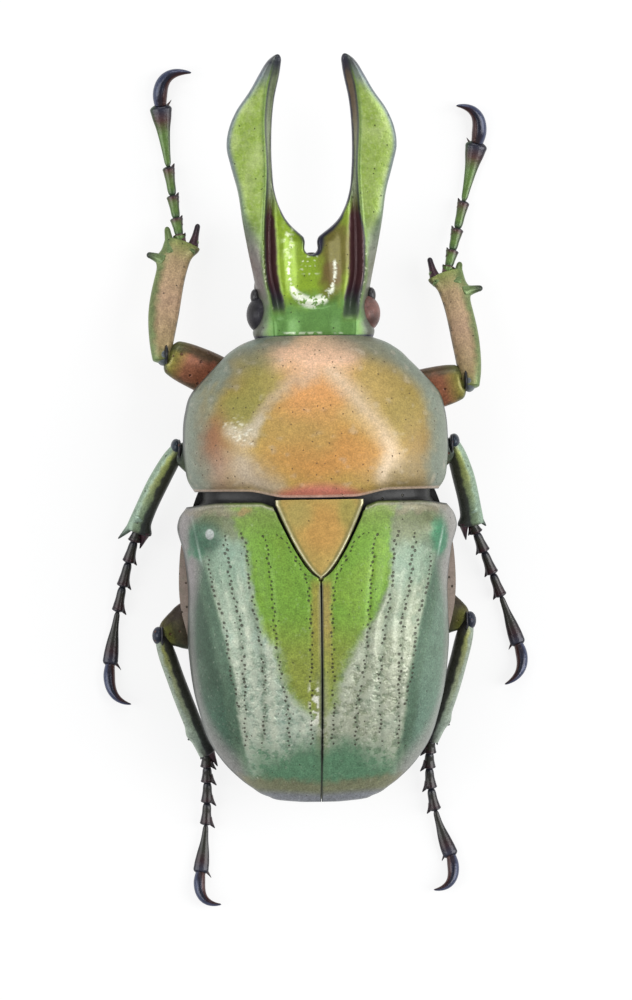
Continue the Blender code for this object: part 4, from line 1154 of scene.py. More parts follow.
def head_surface(x, y):
    """Height of the upper side at a distance x from the middle plane."""
    keel, edge = keel_line(y), outer_edge(y)
    on_head = step(-12.2, -10.6, y)
    inside = keel - x
    dish_end = -8.25 - 0.25 * (x / 1.1) ** 2
    dish = step(1.22, 0.72, x) * step(dish_end + 0.22, dish_end - 0.22, y) * step(-11.4, -10.9, y)
    z = head_top(y) - 0.10 * on_head
    z = z + 0.14 * on_head * step(0.5, 1.35, x)
    z = z - 0.15 * dish
    z = z - groove_depth(y) * bump(inside - 0.28, 0.16 + 0.06 * on_head)
    z = z + keel_height(y) * bump(inside, 0.08)
    outward = np.clip((x - keel) / np.maximum(edge - keel, 0.05), 0.0, 1.0)
    z = z - 0.5 * on_head * outward ** 1.4 * (x > keel)
    return z + (1 - on_head) * (0.05 * np.sin(math.pi * outward) - 0.1 * outward ** 4) * (x > keel)


def head_shape(along, turn):
    y = np.interp(along, (0.0, 0.012, 0.32, 0.40, 0.51, 0.97, 1.0),
                  (HEAD_BACK_Y, HEAD_BACK_Y, -10.2, -10.76, -11.8, -18.75, HORN_TIP_Y))
    inner, edge = inner_edge(y), outer_edge(y)
    upper = turn <= 0.5
    one_column = 1 / HEAD_COLUMNS
    across = np.where(upper, turn * 2, (1 - turn - one_column) / (0.5 - one_column))
    x = inner + (edge - inner) * (1 - np.cos(math.pi * across)) / 2
    under = head_under(y) + 0.10 * (x / edge) ** 2
    middle = (head_top(y) + head_under(y)) / 2 - 0.05
    roundness = 0.10 + 0.25 * step(-12.0, -10.0, y)
    near_edge = np.clip((edge - x) / roundness, 0.0, 1.0)
    near_notch = np.clip(from_notch(x, y) / 0.13, 0.0, 1.0)
    rim = np.sqrt(1 - (1 - near_edge) ** 2) * np.sqrt(1 - (1 - near_notch) ** 2)
    z = middle + (np.where(upper, head_surface(x, y), under) - middle) * rim
    to_tip = np.clip((y - HORN_TIP_Y) / 0.3, 0.0, 1.0)
    closing = np.sqrt(1 - (1 - to_tip) ** 2)
    closing = closing * np.clip(along * HEAD_RINGS / 3, 0.0, 1.0) ** 0.5
    centre = np.where(y < -12, (inner + edge) / 2, 0.0)
    return np.column_stack((centre + (x - centre) * closing, y, middle + (z - middle) * closing))


print("the face is hollowed by", round(float(head_top(-9.5) - head_surface(0.0, -9.5)), 2), "mm")

# %% The skin of head and horns
ON_MIDDLE_PLANE = 1e-5
MERGE_DISTANCE = 1e-4
NOTCH_LEAN = 0.07
half, along, turn = ringed_sphere("head_and_horns", HEAD_RINGS, HEAD_COLUMNS)
bend(half, head_shape(along, turn))
body = bmesh.new()
body.from_mesh(half)
wall = [face for face in body.faces if all(abs(vertex.co.x) < ON_MIDDLE_PLANE for vertex in face.verts)]
bmesh.ops.delete(body, geom=wall, context="FACES")
bmesh.ops.remove_doubles(body, verts=body.verts, dist=MERGE_DISTANCE)
everything = list(body.verts) + list(body.edges) + list(body.faces)
bmesh.ops.mirror(body, geom=everything, axis="X", matrix=Matrix.Identity(4), merge_dist=2 * MERGE_DISTANCE)
open_edges = sum(not edge.is_manifold for edge in body.edges)
head_mesh = to_mesh("head_and_horns", body)
turn_outwards(head_mesh)
head_points = mesh_points(head_mesh)
beside_notch = step(-9.6, -10.3, head_points[:, 1]) * step(-12.2, -11.2, head_points[:, 1])
head_points[:, 0] += NOTCH_LEAN * beside_notch * bump(head_points[:, 0], 1.2)
bend(head_mesh, head_points)
print("head and horns:", len(head_mesh.polygons), "faces,", open_edges, "open edges")

# %% [markdown]
# The face is lime inside the grooves, with a brown shadow beside the notch on one side, and
# turns apple green towards the neck. Its sides are a dull mauve grey. The horns are yellow
# green, darker along their outer edges and almost black at their tips.

# %% Hues and fields of the head
LIME = (0.24, 0.37, 0.02)
APPLE = (0.11, 0.26, 0.06)
HORN_LIME = (0.30, 0.43, 0.07)
HORN_PALE = (0.45, 0.57, 0.18)
MAROON = (0.075, 0.028, 0.03)
MAUVE = (0.15, 0.122, 0.12)
CORNER_GREY = (0.11, 0.12, 0.09)
UMBER = (0.15, 0.105, 0.025)
NIGHT = (0.012, 0.012, 0.03)
GLINT = (0.78, 0.84, 0.60)


def head_fields(points):
    """Noises and the masks of the fields, under the names that the layers use."""
    x, y = np.abs(points[:, 0]), points[:, 1]
    left = points[:, 0] > 0
    slow = wobble(points, 0.9, 9)
    fast = wobble(points, 0.25, 10)
    fine = wobble(points, 0.1, 11)
    on_head = step(-12.4, -11.0, y)
    inside = keel_line(y) - x + 0.17 * on_head * (~left)
    half_groove = np.where(left, 0.22, 0.31) * step(-13.8, -11.0, y) + 0.04
    groove_end = np.where(left, -7.7, -7.4)
    off_groove = np.abs(inside - half_groove - 0.04) + 0.03 * fast
    groove = step(half_groove + 0.08, half_groove - 0.06, off_groove) * step(-13.4, -12.0, y)
    return SimpleNamespace(
        points=points, x=x, y=y, left=left, slow=slow, fast=fast, fine=fine, on_head=on_head,
        inside=inside, outside=outer_edge(y) - x, blade=step(0.02, -0.06, inside) * step(-8.2, -9.2, y),
        groove=groove * step(groove_end, groove_end - 0.5, y))


fields = head_fields(head_points)
print(int((fields.blade > 0.5).sum()), "of", len(head_points), "points lie on the horn blades")

# %% [markdown]
# The layers are listed in the order in which they are laid. First come the broad fields of
# the face and the horns. The grooves follow, maroon and night blue with painted shade, with
# the night-blue line under each keel, the keel's painted shadow, then the keel's own pale
# ridge and the painted glints along it.

# %% Layers of the face, the horns and the grooves
def face_layers(at):
    spots = at.points + 0.1 * np.column_stack((at.fast, at.fast, at.fast))
    brown = patch(spots, (-1.0, -10.6), (0.75, 1.3), 0.9)
    brown = brown + 0.8 * patch(spots, (-0.75, -9.1), (0.5, 0.8), 0.9)
    strip = step(-11.9, -13.2, at.y) * step(-0.02, 0.1, at.inside)
    return [
        (step(0.0, 0.8, at.slow) * 0.4, (0.17, 0.25, 0.03)),
        (brown * 0.85, UMBER),
        (strip, (0.14, 0.17, 0.09)),
        (strip * (~at.left) * step(-14.0, -17.0, at.y), (0.12, 0.085, 0.05)),
    ]


def horn_layers(at):
    rim = 0.34 + 0.3 * at.on_head + 0.3 * step(-16.4, -18.2, at.y)
    side = step(0.75, 0.3, at.outside + 0.08 * at.fast) * step(-12.2, -10.0, at.y) * (at.inside < 0.0)
    return [
        (at.blade, HORN_LIME),
        (at.blade * step(-0.3, 0.9, at.slow + 0.3 * at.fast) * 0.7, HORN_PALE),
        (at.blade * step(0.3, 0.9, at.fine) * 0.4, (0.52, 0.62, 0.26)),
        (at.blade * step(-0.3, -0.9, at.fine) * 0.35, (0.18, 0.30, 0.05)),
        (at.blade * step(-12.6, -10.6, at.y) * 0.8, (0.13, 0.23, 0.06)),
        (step(rim, rim * 0.1, at.outside) * 0.85, (0.12, 0.17, 0.13)),
        (step(0.22, 0.04, at.outside) * step(-12.5, -14.5, at.y) * 0.7, (0.12, 0.15, 0.20)),
        (side, np.where(at.left[:, None], MAUVE, (0.19, 0.20, 0.15))),
    ]


def groove_layers(at):
    corner = step(1.7, 2.3, at.x + 0.12 * at.fast) * step(-9.2, -8.2, at.y)
    apple = step(-9.0, -7.9, at.y + 0.25 * at.slow + 0.2 * at.fast) * step(2.35, 1.7, at.x + 0.1 * at.fast)
    painted_keel_shadow = bump(at.inside - 0.09, 0.045) * step(-18.6, -17.6, at.y) * step(-7.9, -8.5, at.y)
    ridge = bump(at.inside + 0.02, 0.08) * step(-8.0, -8.6, at.y) * (0.75 + 0.3 * at.fine)
    painted_glints = bump(at.inside - 0.02, 0.05) * step(-11.0, -10.0, at.y)
    painted_glints = painted_glints * step(-7.9, -8.4, at.y) * step(0.45, 0.8, at.fine)
    return [
        # The maroon of the grooves, and their night blue near the eyes, are painted shade in the grooves.
        (at.groove, MAROON),
        (at.groove * step(-9.4, -8.4, at.y) * 0.8, NIGHT),
        (corner, CORNER_GREY),
        (apple * (1 - 0.75 * np.clip(at.groove, 0, 1)) * 0.95, APPLE),
        # The painted shadow of the keel on the strip inside it.
        (painted_keel_shadow * 0.95, NIGHT),
        (ridge, (0.13, 0.22, 0.05)),
        # Painted glints along the keel.
        (painted_glints * 0.8, (0.75, 0.75, 0.58)),
    ]


print("head: face, horns and grooves are laid in that order")

# %% [markdown]
# Last come the black lip of the notch, the dark tips and the glints. A wet-looking face
# throws back the lamps in a broken arc, and a painted arc keeps that sparkle under any
# light, where the soft lights of this studio would leave it plain.

# %% Paint of the head
HAMMERED_HORNS = 0.2


def edge_layers(at):
    lip_width = 0.07 + 0.26 * bump(at.y + 11.2, 0.75) + 0.05 * (~at.left)
    lip = step(lip_width, lip_width * 0.3, from_notch(at.x, at.y) + 0.02 * at.fast)
    return [
        (lip, NIGHT),
        (step(-17.7, -18.6, at.y + 0.1 * at.fast) * 0.9, NIGHT),
        (bump(at.y + 18.0, 0.4) * at.blade * 0.5, (0.15, 0.17, 0.22)),
    ]


def glint_layers(at):
    """The painted arc of light on the face, painted glints round it, a painted highlight at the neck, the
    dark underside and painted shade under the pronotum.
    """
    across = at.points[:, 0]
    arc = np.hypot((across - 0.06) / 1.0, (at.y + 9.75) / 1.4) - 1.0
    thick = 0.07 + 0.17 * step(-9.2, -8.6, at.y)
    broken = step(0.0, 0.25, 0.9 * at.fast + 0.7 * at.fine + 0.3)
    glints = step(thick, thick * 0.4, np.abs(arc)) * step(-10.5, -10.0, at.y) * broken
    upper_glints = bump(across - 1.05, 0.22) * bump(at.y + 11.0, 0.6)
    upper_glints = upper_glints * step(0.1, 0.5, at.fast + 0.6 * at.fine)
    dashes = patch(at.points, (0.1, -9.95), (0.5, 0.45), 0.5) * step(0.3, 0.6, at.fine)
    dashes = dashes * step(0.0, 0.5, np.sin(at.y * 34))
    painted_neck_highlight = bump(at.y + 7.04, 0.04) * step(1.7, 1.3, at.x) * step(-0.1, 0.3, at.fast)
    below = at.points[:, 2] < (head_top(at.y) + head_under(at.y)) / 2 - 0.15
    return [
        (glints * 0.9, (0.86, 0.89, 0.74)),
        (upper_glints * 0.75, GLINT),
        (dashes * 0.8, GLINT),
        # A painted highlight along the neck.
        (painted_neck_highlight * 0.85, (0.75, 0.85, 0.65)),
        (below.astype(float), (0.10, 0.13, 0.06)),
        # Painted shade: the back of the head, under the edge of the pronotum, is black.
        (step(-6.98, -6.9, at.y), NIGHT),
    ]


HEAD_PARTS = (face_layers, horn_layers, groove_layers, edge_layers, glint_layers)
store_paint(head_mesh, lay_parts(ground(head_points, LIME), fields, HEAD_PARTS))
store(head_mesh, "texture", [HAMMERED_HORNS * fields.blade] * 3)
head_finish = cuticle("head_finish", 0.35, 0.38, 0.18, 0.3, 0.03, 0.4, grain=0.2, relief=0.005,
                      hammered=True)
dress(as_object(head_mesh, 70), head_finish, "head", "head", "horn_left", "horn_right")

# %% [markdown]
# ## Eyes
#
# The eyes are large and sit half under the side of the head. One is almost black and the
# other is brown. Their facets are far too small to model, so a cell pattern gives them as a
# fine relief.

# %% Round parts
def ball(name, centre, radii, rings=40, around=56):
    """An oval body."""
    mesh = ringed_sphere(name, rings, around)[0]
    bend(mesh, mesh_points(mesh) * np.array(radii) + np.array(centre))
    turn_outwards(mesh)
    return mesh


def painted_ball(name, centre, radii, colour, rings=20, around=24):
    """An oval piece in one colour."""
    mesh = ball(name, centre, radii, rings, around)
    store_paint(mesh, ground(mesh_points(mesh), colour))
    return as_object(mesh)


print("round parts are pulled spheres too")

# %% The eyes
EYE_CENTRE = (2.24, -7.85, 3.9)
EYE_RADII = (0.62, 0.78, 0.74)
FACETS_PER_MM = 22.0
EYE_COLOURS = {"left": (0.012, 0.01, 0.018), "right": (0.22, 0.10, 0.08)}


def eye_finish(name, colour):
    material, tree, shader = new_material(name)
    place = body_place(tree)
    pattern = {"Vector": place, "Scale": FACETS_PER_MM, "Randomness": 0.2}
    facets = add(tree, "TexVoronoi", pattern, feature="DISTANCE_TO_EDGE").outputs["Distance"]
    cloud = add(tree, "TexNoise", {"Vector": place, "Scale": 1.8, "Detail": 3.0}).outputs[0]
    dim = tuple(value * 0.35 for value in colour) + (1.0,)
    tone = mix_colour(tree, fade(tree, cloud, 0.35, 0.65), (*colour, 1.0), dim)
    tree.links.new(tone, shader.inputs["Base Color"])
    dome = fade(tree, facets, 0.0, 0.3)
    relief = add(tree, "Bump", {"Height": dome, "Distance": 0.012 * MM, "Strength": 1.0})
    tree.links.new(relief.outputs[0], shader.inputs["Normal"])
    set_sockets(shader, {"Roughness": 0.33, "Coat Weight": 0.1})
    return material


for word, side in SIDES.items():
    centre = (EYE_CENTRE[0] * side, EYE_CENTRE[1], EYE_CENTRE[2])
    eye = as_object(ball("eye_ball_" + word, centre, EYE_RADII))
    dress(eye, eye_finish("eye_finish_" + word, EYE_COLOURS[word]), "eyes", "eye_" + word)

# %% [markdown]
# ## Limbs
#
# Every joint of a leg is a closed tube along a bent line, with its own widths and heights
# on the way. A pulled sphere makes them all: its rings are set square to the line, and the
# rings next to the poles shrink to a round end. Teeth and claws are the same thing with a
# width that runs out to a point.

# %% Lines through space
def path_curve(points):
    """A function of the share of a line's length, which runs smoothly through the points."""
    points = np.array(points, float)
    lengths = np.concatenate(([0.0], np.cumsum(np.linalg.norm(np.diff(points, axis=0), axis=1))))
    shares = lengths / lengths[-1]
    parts = [smooth_curve(*zip(shares, points[:, axis])) for axis in range(3)]
    return lambda share: np.column_stack([part(share) for part in parts])


def bent_line(start, bend_point, end, count=9):
    """Points along a curve from start to end that leans towards bend_point."""
    t = np.linspace(0, 1, count)[:, None]
    start, bend_point, end = np.array(start), np.array(bend_point), np.array(end)
    return start * (1 - t) ** 2 + bend_point * (2 * t * (1 - t)) + end * t ** 2


def unit(vectors):
    return vectors / np.maximum(np.linalg.norm(vectors, axis=-1, keepdims=True), 1e-9)


print("halfway along a bent line:", bent_line((0, 0, 0), (1, 1, 0), (2, 0, 0), 3)[1])

# %% Tubes and teeth
def limb(name, line, widths, heights, side, stops, rings=60, around=20, cap=0.03, relief=None):
    """A tube along a line. Its widths lie towards side, and its colours run through stops."""
    mesh, along, turn = ringed_sphere(name, rings, around)
    share = end_spacing(along, 0.6)
    centre_at = path_curve(line)
    ahead, behind = centre_at(np.minimum(share + 0.01, 1.0)), centre_at(np.maximum(share - 0.01, 0.0))
    forward = unit(ahead - behind)
    side = np.tile(np.array(side, float), (len(share), 1))
    across = unit(side - forward * np.sum(side * forward, axis=1, keepdims=True))
    up = np.cross(forward, across)
    near_end = np.clip(np.minimum(share, 1 - share) / cap, 0.0, 1.0)
    closing = np.sqrt(1 - (1 - near_end) ** 2)
    angle = 2 * math.pi * turn
    width = smooth_curve(*widths)(share) * closing
    height = smooth_curve(*heights)(share) * closing
    if relief:
        swell = relief(share, angle)
        width, height = width * swell, height * swell
    sideways, upwards = (width * np.cos(angle))[:, None], (height * np.sin(angle))[:, None]
    bend(mesh, centre_at(share) + across * sideways + up * upwards)
    turn_outwards(mesh)
    places = [stop[0] for stop in stops]
    store_paint(mesh, np.column_stack([np.interp(share, places, [stop[1][i] for stop in stops])
                                       for i in range(3)]))
    store(mesh, "turn", (np.cos(angle), np.sin(angle), share))
    return as_object(mesh)


def spike(name, root_point, tip, radius, colour, tip_colour, bow=(0, 0, 0), blunt=0.0, rings=18, around=12):
    """A tooth from root_point to tip, bent towards bow; blunt is the radius of its end."""
    middle = (np.array(root_point) + np.array(tip)) / 2 + np.array(bow)
    line = bent_line(root_point, middle, tip, 7)
    end = max(blunt, radius * 0.1)
    sizes = [(0.0, radius * 1.4), (0.2, radius * 1.1), (0.45, radius * 0.7 + end * 0.2),
             (0.78, radius * 0.3 + end * 0.6), (1.0, end)]
    side = np.cross(np.array(tip) - np.array(root_point), (0, 0, 1.0))
    stops = [(0.0, colour), (0.35, colour), (1.0, tip_colour)]
    return limb(name, line, sizes, sizes, side, stops, rings, around, 0.06 + blunt * 0.6)


def hue_and_shade_sides(piece, outer, inner, strength, outer_from, inner_from, soft=0.4):
    """Paints the two narrow sides of a limb, which it has stored as turn; on a tibia the paler side is
    partly painted light and the darker side partly painted shade.
    """
    mesh = piece.data
    turn = np.empty(len(mesh.vertices) * 3)
    mesh.attributes["turn"].data.foreach_get("vector", turn)
    paint = np.empty(len(mesh.vertices) * 4)
    mesh.attributes["paint"].data.foreach_get("color", paint)
    paint = paint.reshape(-1, 4)
    towards = turn.reshape(-1, 3)[:, 0] + 0.12 * wobble(mesh_points(mesh), 0.3, 21)
    paint[:, :3] = lay_all(paint[:, :3], [
        (step(outer_from, outer_from + soft, towards) * strength, outer),
        (step(inner_from, inner_from - 0.25, towards) * strength, inner),
    ])
    mesh.attributes["paint"].data.foreach_set("color", paint.ravel())
    return piece


print("tubes, teeth and two-toned limbs can be made")

# %% [markdown]
# ## The legs
#
# Each leg has a coxa in its socket, a thick femur, a tibia with teeth on its outer edge
# and a spur inside its end, five small tarsal joints and a pair of hooked claws. The front
# tibiae are broad blades for digging. The places were read from the photograph, and the
# table below says them once for all the pieces of a leg. A tooth is given by its place
# along the tibia, its length and how far it leans forwards.

# %% Places of the legs
PLACES = ("hip", "knee", "ankle", "toe_bend", "toe", "claw_bend", "claw_tip")
UPPER_HEIGHTS = {"front": (1.85, 2.7, 1.25), "middle": (1.6, 2.5, 1.1), "hind": (1.05, 2.2, 1.1)}
FOOT_HEIGHTS = (0.24, 0.25, 0.22, 0.12)
LEGS = {
    "front_left": {
        "places": ((2.1, -4.3), (6.3, -6.25), (5.5, -11.1), (5.9, -13.4), (6.27, -17.0), (6.45, -18.52),
                   (4.93, -18.27)),
        "bow": 0.25, "widths": (0.48, 0.64, 0.64, 0.68), "spur": 0.85,
        "teeth": ((0.81, 0.6, 0.35), (0.95, 0.8, 7.0)),
    },
    "front_right": {
        "places": ((-2.1, -3.9), (-6.55, -4.95), (-5.84, -9.6), (-6.55, -12.1), (-7.3, -15.2),
                   (-7.72, -16.62), (-6.4, -16.7)),
        "bow": 0.2, "widths": (0.48, 0.58, 0.6, 0.68), "spur": 0.75,
        "teeth": ((0.80, 0.65, 0.1), (0.96, 0.55, 6.0)),
    },
    "middle_left": {
        "places": ((1.9, 0.9), (5.8, -2.2), (7.6, 1.35), (8.45, 4.1), (8.8, 7.1), (9.05, 8.5), (7.92, 8.7)),
        "bow": 0.12, "widths": (0.38, 0.44, 0.46, 0.5), "spur": 0.6, "teeth": ((0.93, 0.95, 4.5),),
    },
    "middle_right": {
        "places": ((-1.9, 0.9), (-5.9, -2.25), (-6.8, 1.25), (-7.9, 3.9), (-8.75, 6.5),
                   (-9.2, 7.6), (-8.1, 8.1)),
        "bow": 0.12, "widths": (0.38, 0.46, 0.47, 0.5), "spur": 0.6, "teeth": ((0.93, 0.52, 3.0),),
    },
    "hind_left": {
        "places": ((2.2, 6.5), (6.65, 5.8), (4.72, 10.95), (4.6, 13.3), (5.07, 16.05),
                   (5.35, 17.35), (4.2, 17.32)),
        "thigh": (5.2, 5.35, 1.9), "bow": 0.08, "widths": (0.36, 0.38, 0.37, 0.31), "spur": 0.6,
        "teeth": ((0.80, 0.22, 1.6), (0.97, 0.26, 1.8)),
    },
    "hind_right": {
        "places": ((-2.2, 6.2), (-6.45, 5.35), (-4.85, 10.5), (-4.5, 12.6), (-5.74, 15.5), (-6.05, 16.75),
                   (-4.92, 16.85)),
        "thigh": (-5.2, 4.95, 1.9), "bow": 0.15, "widths": (0.36, 0.38, 0.37, 0.31), "spur": 0.6,
        "teeth": ((0.80, 0.22, 1.6), (0.97, 0.26, 1.8)),
    },
}
print("legs:", ", ".join(LEGS))

# %% [markdown]
# The front legs are copper and green, and the other legs darken from olive to black
# towards the feet. Each limb has stops of colour along it, and then one hue for its outer
# side and one for its inner side. On the tibiae these two hues hold painted light and shade
# besides the limb's own colour and hair: the outer side is paler, as lit, and the inner
# side darker, as shaded.

# %% Hues of the legs
BLACK_GREEN = (0.03, 0.045, 0.02)
BLACK = (0.012, 0.012, 0.018)
PLUM = (0.05, 0.02, 0.028)
# The blue of the claws' outer sides is partly their own colour and partly a painted sheen.
CLAW_BLUE_SHEEN = (0.06, 0.075, 0.14)
CLAW_RED = (0.06, 0.018, 0.014)
LEG_COLOURS = {
    "front": {
        "femur": [(0.0, (0.12, 0.05, 0.04)), (0.45, (0.30, 0.095, 0.055)), (0.8, (0.37, 0.14, 0.07)),
                  (0.93, (0.29, 0.25, 0.05)), (1.0, (0.16, 0.18, 0.05))],
        "tibia": [(0.0, (0.14, 0.18, 0.05)), (0.12, (0.34, 0.25, 0.12)), (0.5, (0.44, 0.29, 0.18)),
                  (0.82, (0.42, 0.30, 0.16)), (1.0, (0.20, 0.26, 0.06))],
        "tarsus": ((0.05, 0.10, 0.03), (0.12, 0.21, 0.05), (0.08, 0.035, 0.03)),
        "outer": (0.15, 0.22, 0.08), "inner": (0.10, 0.09, 0.06), "knee": (0.13, 0.15, 0.16),
        "femur_edge": BLACK_GREEN, "tibia_edges": (0.25, -0.8, 0.6),
    },
    "middle": {
        "femur": [(0.0, (0.10, 0.12, 0.06)), (0.8, (0.12, 0.15, 0.07)), (1.0, (0.04, 0.05, 0.06))],
        "tibia": [(0.0, (0.05, 0.06, 0.06)), (0.12, (0.25, 0.29, 0.07)), (0.4, (0.26, 0.30, 0.10)),
                  (0.75, (0.22, 0.30, 0.18)), (0.95, (0.18, 0.25, 0.15)), (1.0, (0.05, 0.04, 0.03))],
        "tarsus": ((0.012, 0.014, 0.022), (0.024, 0.024, 0.018), (0.03, 0.010, 0.014)),
        "outer": (0.26, 0.36, 0.27), "inner": (0.02, 0.02, 0.025), "knee": (0.02, 0.03, 0.045),
        "femur_edge": BLACK_GREEN, "tibia_edges": (0.3, 0.0, 0.4),
    },
    "hind": {
        "femur": [(0.0, (0.04, 0.03, 0.02)), (0.76, (0.045, 0.03, 0.018)), (0.87, (0.08, 0.075, 0.03)),
                  (0.94, (0.21, 0.22, 0.04)), (1.0, (0.04, 0.05, 0.07))],
        "tibia": [(0.0, (0.05, 0.06, 0.06)), (0.12, (0.27, 0.29, 0.08)), (0.35, (0.28, 0.31, 0.16)),
                  (0.85, (0.26, 0.33, 0.26)), (1.0, (0.05, 0.05, 0.04))],
        "tarsus": ((0.012, 0.014, 0.022), (0.024, 0.024, 0.018), (0.028, 0.010, 0.014)),
        "outer": (0.32, 0.38, 0.31), "inner": (0.02, 0.02, 0.025), "knee": (0.016, 0.022, 0.04),
        "femur_edge": (0.04, 0.025, 0.018), "tibia_edges": (0.35, 0.18, 0.4),
    },
}


def kind_of(leg):
    return leg.split("_")[0]


def leg_places(leg):
    """The named places of a leg, with their heights."""
    heights = UPPER_HEIGHTS[kind_of(leg)] + FOOT_HEIGHTS
    return {name: np.array((*spot, height))
            for name, spot, height in zip(PLACES, LEGS[leg]["places"], heights)}


for leg in LEGS:
    at = leg_places(leg)
    print(leg, "tibia", round(float(np.linalg.norm(at["ankle"] - at["knee"])), 2), "mm long")

# %% [markdown]
# The coxa is an oval that nearly reaches the middle plane. The femur swells towards its
# middle; the hind one bulges out beyond the trunk, so its line runs through a place of its
# own. At its end sit the dark cap of the knee and a black slit, where the tibia turns.

# %% Coxa and femur
COXA_GAP = 0.2
HIND_FEMUR = ((0.0, 0.36), (0.3, 0.85), (0.6, 1.0), (0.76, 0.9), (0.88, 0.62), (1.0, 0.3))
OTHER_FEMUR = ((0.0, 0.4), (0.06, 0.58), (0.2, 0.82), (0.45, 1.0), (0.7, 1.0), (0.88, 0.9), (1.0, 0.74))
FEMUR_WIDTH = {"front": 0.9, "middle": 0.64, "hind": 1.12}
FEMUR_HEIGHT = 0.5
KNEE_RADIUS = {"front": 0.3, "middle": 0.24, "hind": 0.27}


def make_coxa(leg):
    hip = leg_places(leg)["hip"]
    length = (abs(hip[0]) - COXA_GAP) / 2
    centre = hip - np.array((math.copysign(length, hip[0]), 0, -0.33))
    return painted_ball(leg + "_hip", centre, (length, 0.66, 0.6), (0.10, 0.10, 0.06), 30, 40)


def make_femur(leg):
    """The thigh and the dark cap of the knee."""
    at = leg_places(leg)
    kind = kind_of(leg)
    colours = LEG_COLOURS[kind]
    direction = unit(at["knee"] - at["hip"])
    start = at["hip"] + direction * 0.1
    if kind == "hind":
        sizes = HIND_FEMUR
        line = path_curve([start, LEGS[leg]["thigh"], at["knee"] + direction * 0.1])(np.linspace(0, 1, 7))
    else:
        sizes = OTHER_FEMUR
        end = at["knee"] - direction * (0.05 if kind == "front" else -0.1)
        line = [start, (start + end) / 2, end]
    widths = [(share, FEMUR_WIDTH[kind] * size) for share, size in sizes]
    heights = [(share, FEMUR_HEIGHT * max(size, 0.6)) for share, size in sizes]
    across = (-direction[1], direction[0], 0.0)
    femur = limb(leg + "_thigh", line, widths, heights, across, colours["femur"], 90, 40, 0.07)
    if direction[0] > 0:
        femur = hue_and_shade_sides(femur, BLACK_GREEN, colours["femur_edge"], 0.75, 0.6, -0.35)
    else:
        femur = hue_and_shade_sides(femur, colours["femur_edge"], BLACK_GREEN, 0.75, 0.35, -0.75)
    radius = KNEE_RADIUS[kind]
    cap_place = at["knee"] + direction * 0.12 + np.array((0.0, 0.12 if kind == "front" else 0.0, -0.06))
    cap = painted_ball("knee_cap", cap_place, (radius, radius * 1.45, 0.42), colours["knee"], 24, 30)
    slit_place = at["knee"] - direction * 0.04 + np.array((0.0, 0.0, 0.16))
    slit = painted_ball("knee_slit", slit_place, (0.1, 0.42, 0.38), BLACK)
    return unite(leg + "_thigh", [femur, cap, slit])


print("femora are", FEMUR_HEIGHT * 2, "mm high")

# %% [markdown]
# The tibia is a blade. Teeth that stand out from its side grow from a flared foot, and
# teeth that lean forwards by more than a set amount grow from its corner. The inner corner
# carries a spur, and in the front legs a rounded lobe as well.

# %% Tibia
FLARE = 0.28
CORNER_LEAN = 1.7
BLUNT_TEETH = 0.11
TIBIA_HEIGHTS = ((0.0, 0.3), (0.1, 0.37), (0.35, 0.34), (1.0, 0.28))


def tibia_line(leg):
    """The middle line of the tibia, the direction of its outer edge and its direction."""
    at = leg_places(leg)
    is_front = leg.startswith("front")
    forward = unit(at["ankle"] - at["knee"])
    side = unit(np.array((-forward[1], forward[0], 0.0)))
    side = side * math.copysign(1.0, side[0] * at["knee"][0])
    start = at["knee"] - forward * (0.4 if is_front else 0.1) + side * (0.12 if is_front else 0.0)
    bend_point = (start + at["ankle"]) / 2 + side * LEGS[leg]["bow"] * 2
    return bent_line(start, bend_point, at["ankle"]), side, forward


def tibia_relief(teeth):
    """A low ridge along the top, a flared foot under each side tooth and a lobe at the inner end."""
    def swell(share, angle):
        ridge = 0.06 * bump(angle - 1.35, 0.3) * step(0.02, 0.15, share)
        outwards = np.clip(np.cos(angle), 0.0, 1.0) ** 2
        inwards = np.clip(-np.cos(angle), 0.0, 1.0) ** 2
        flare = sum(bump(share - tooth[0], 0.05) for tooth in teeth if tooth[2] < CORNER_LEAN)
        return 1 + ridge + FLARE * outwards * flare + 0.3 * inwards * bump(share - 0.97, 0.06)

    return swell


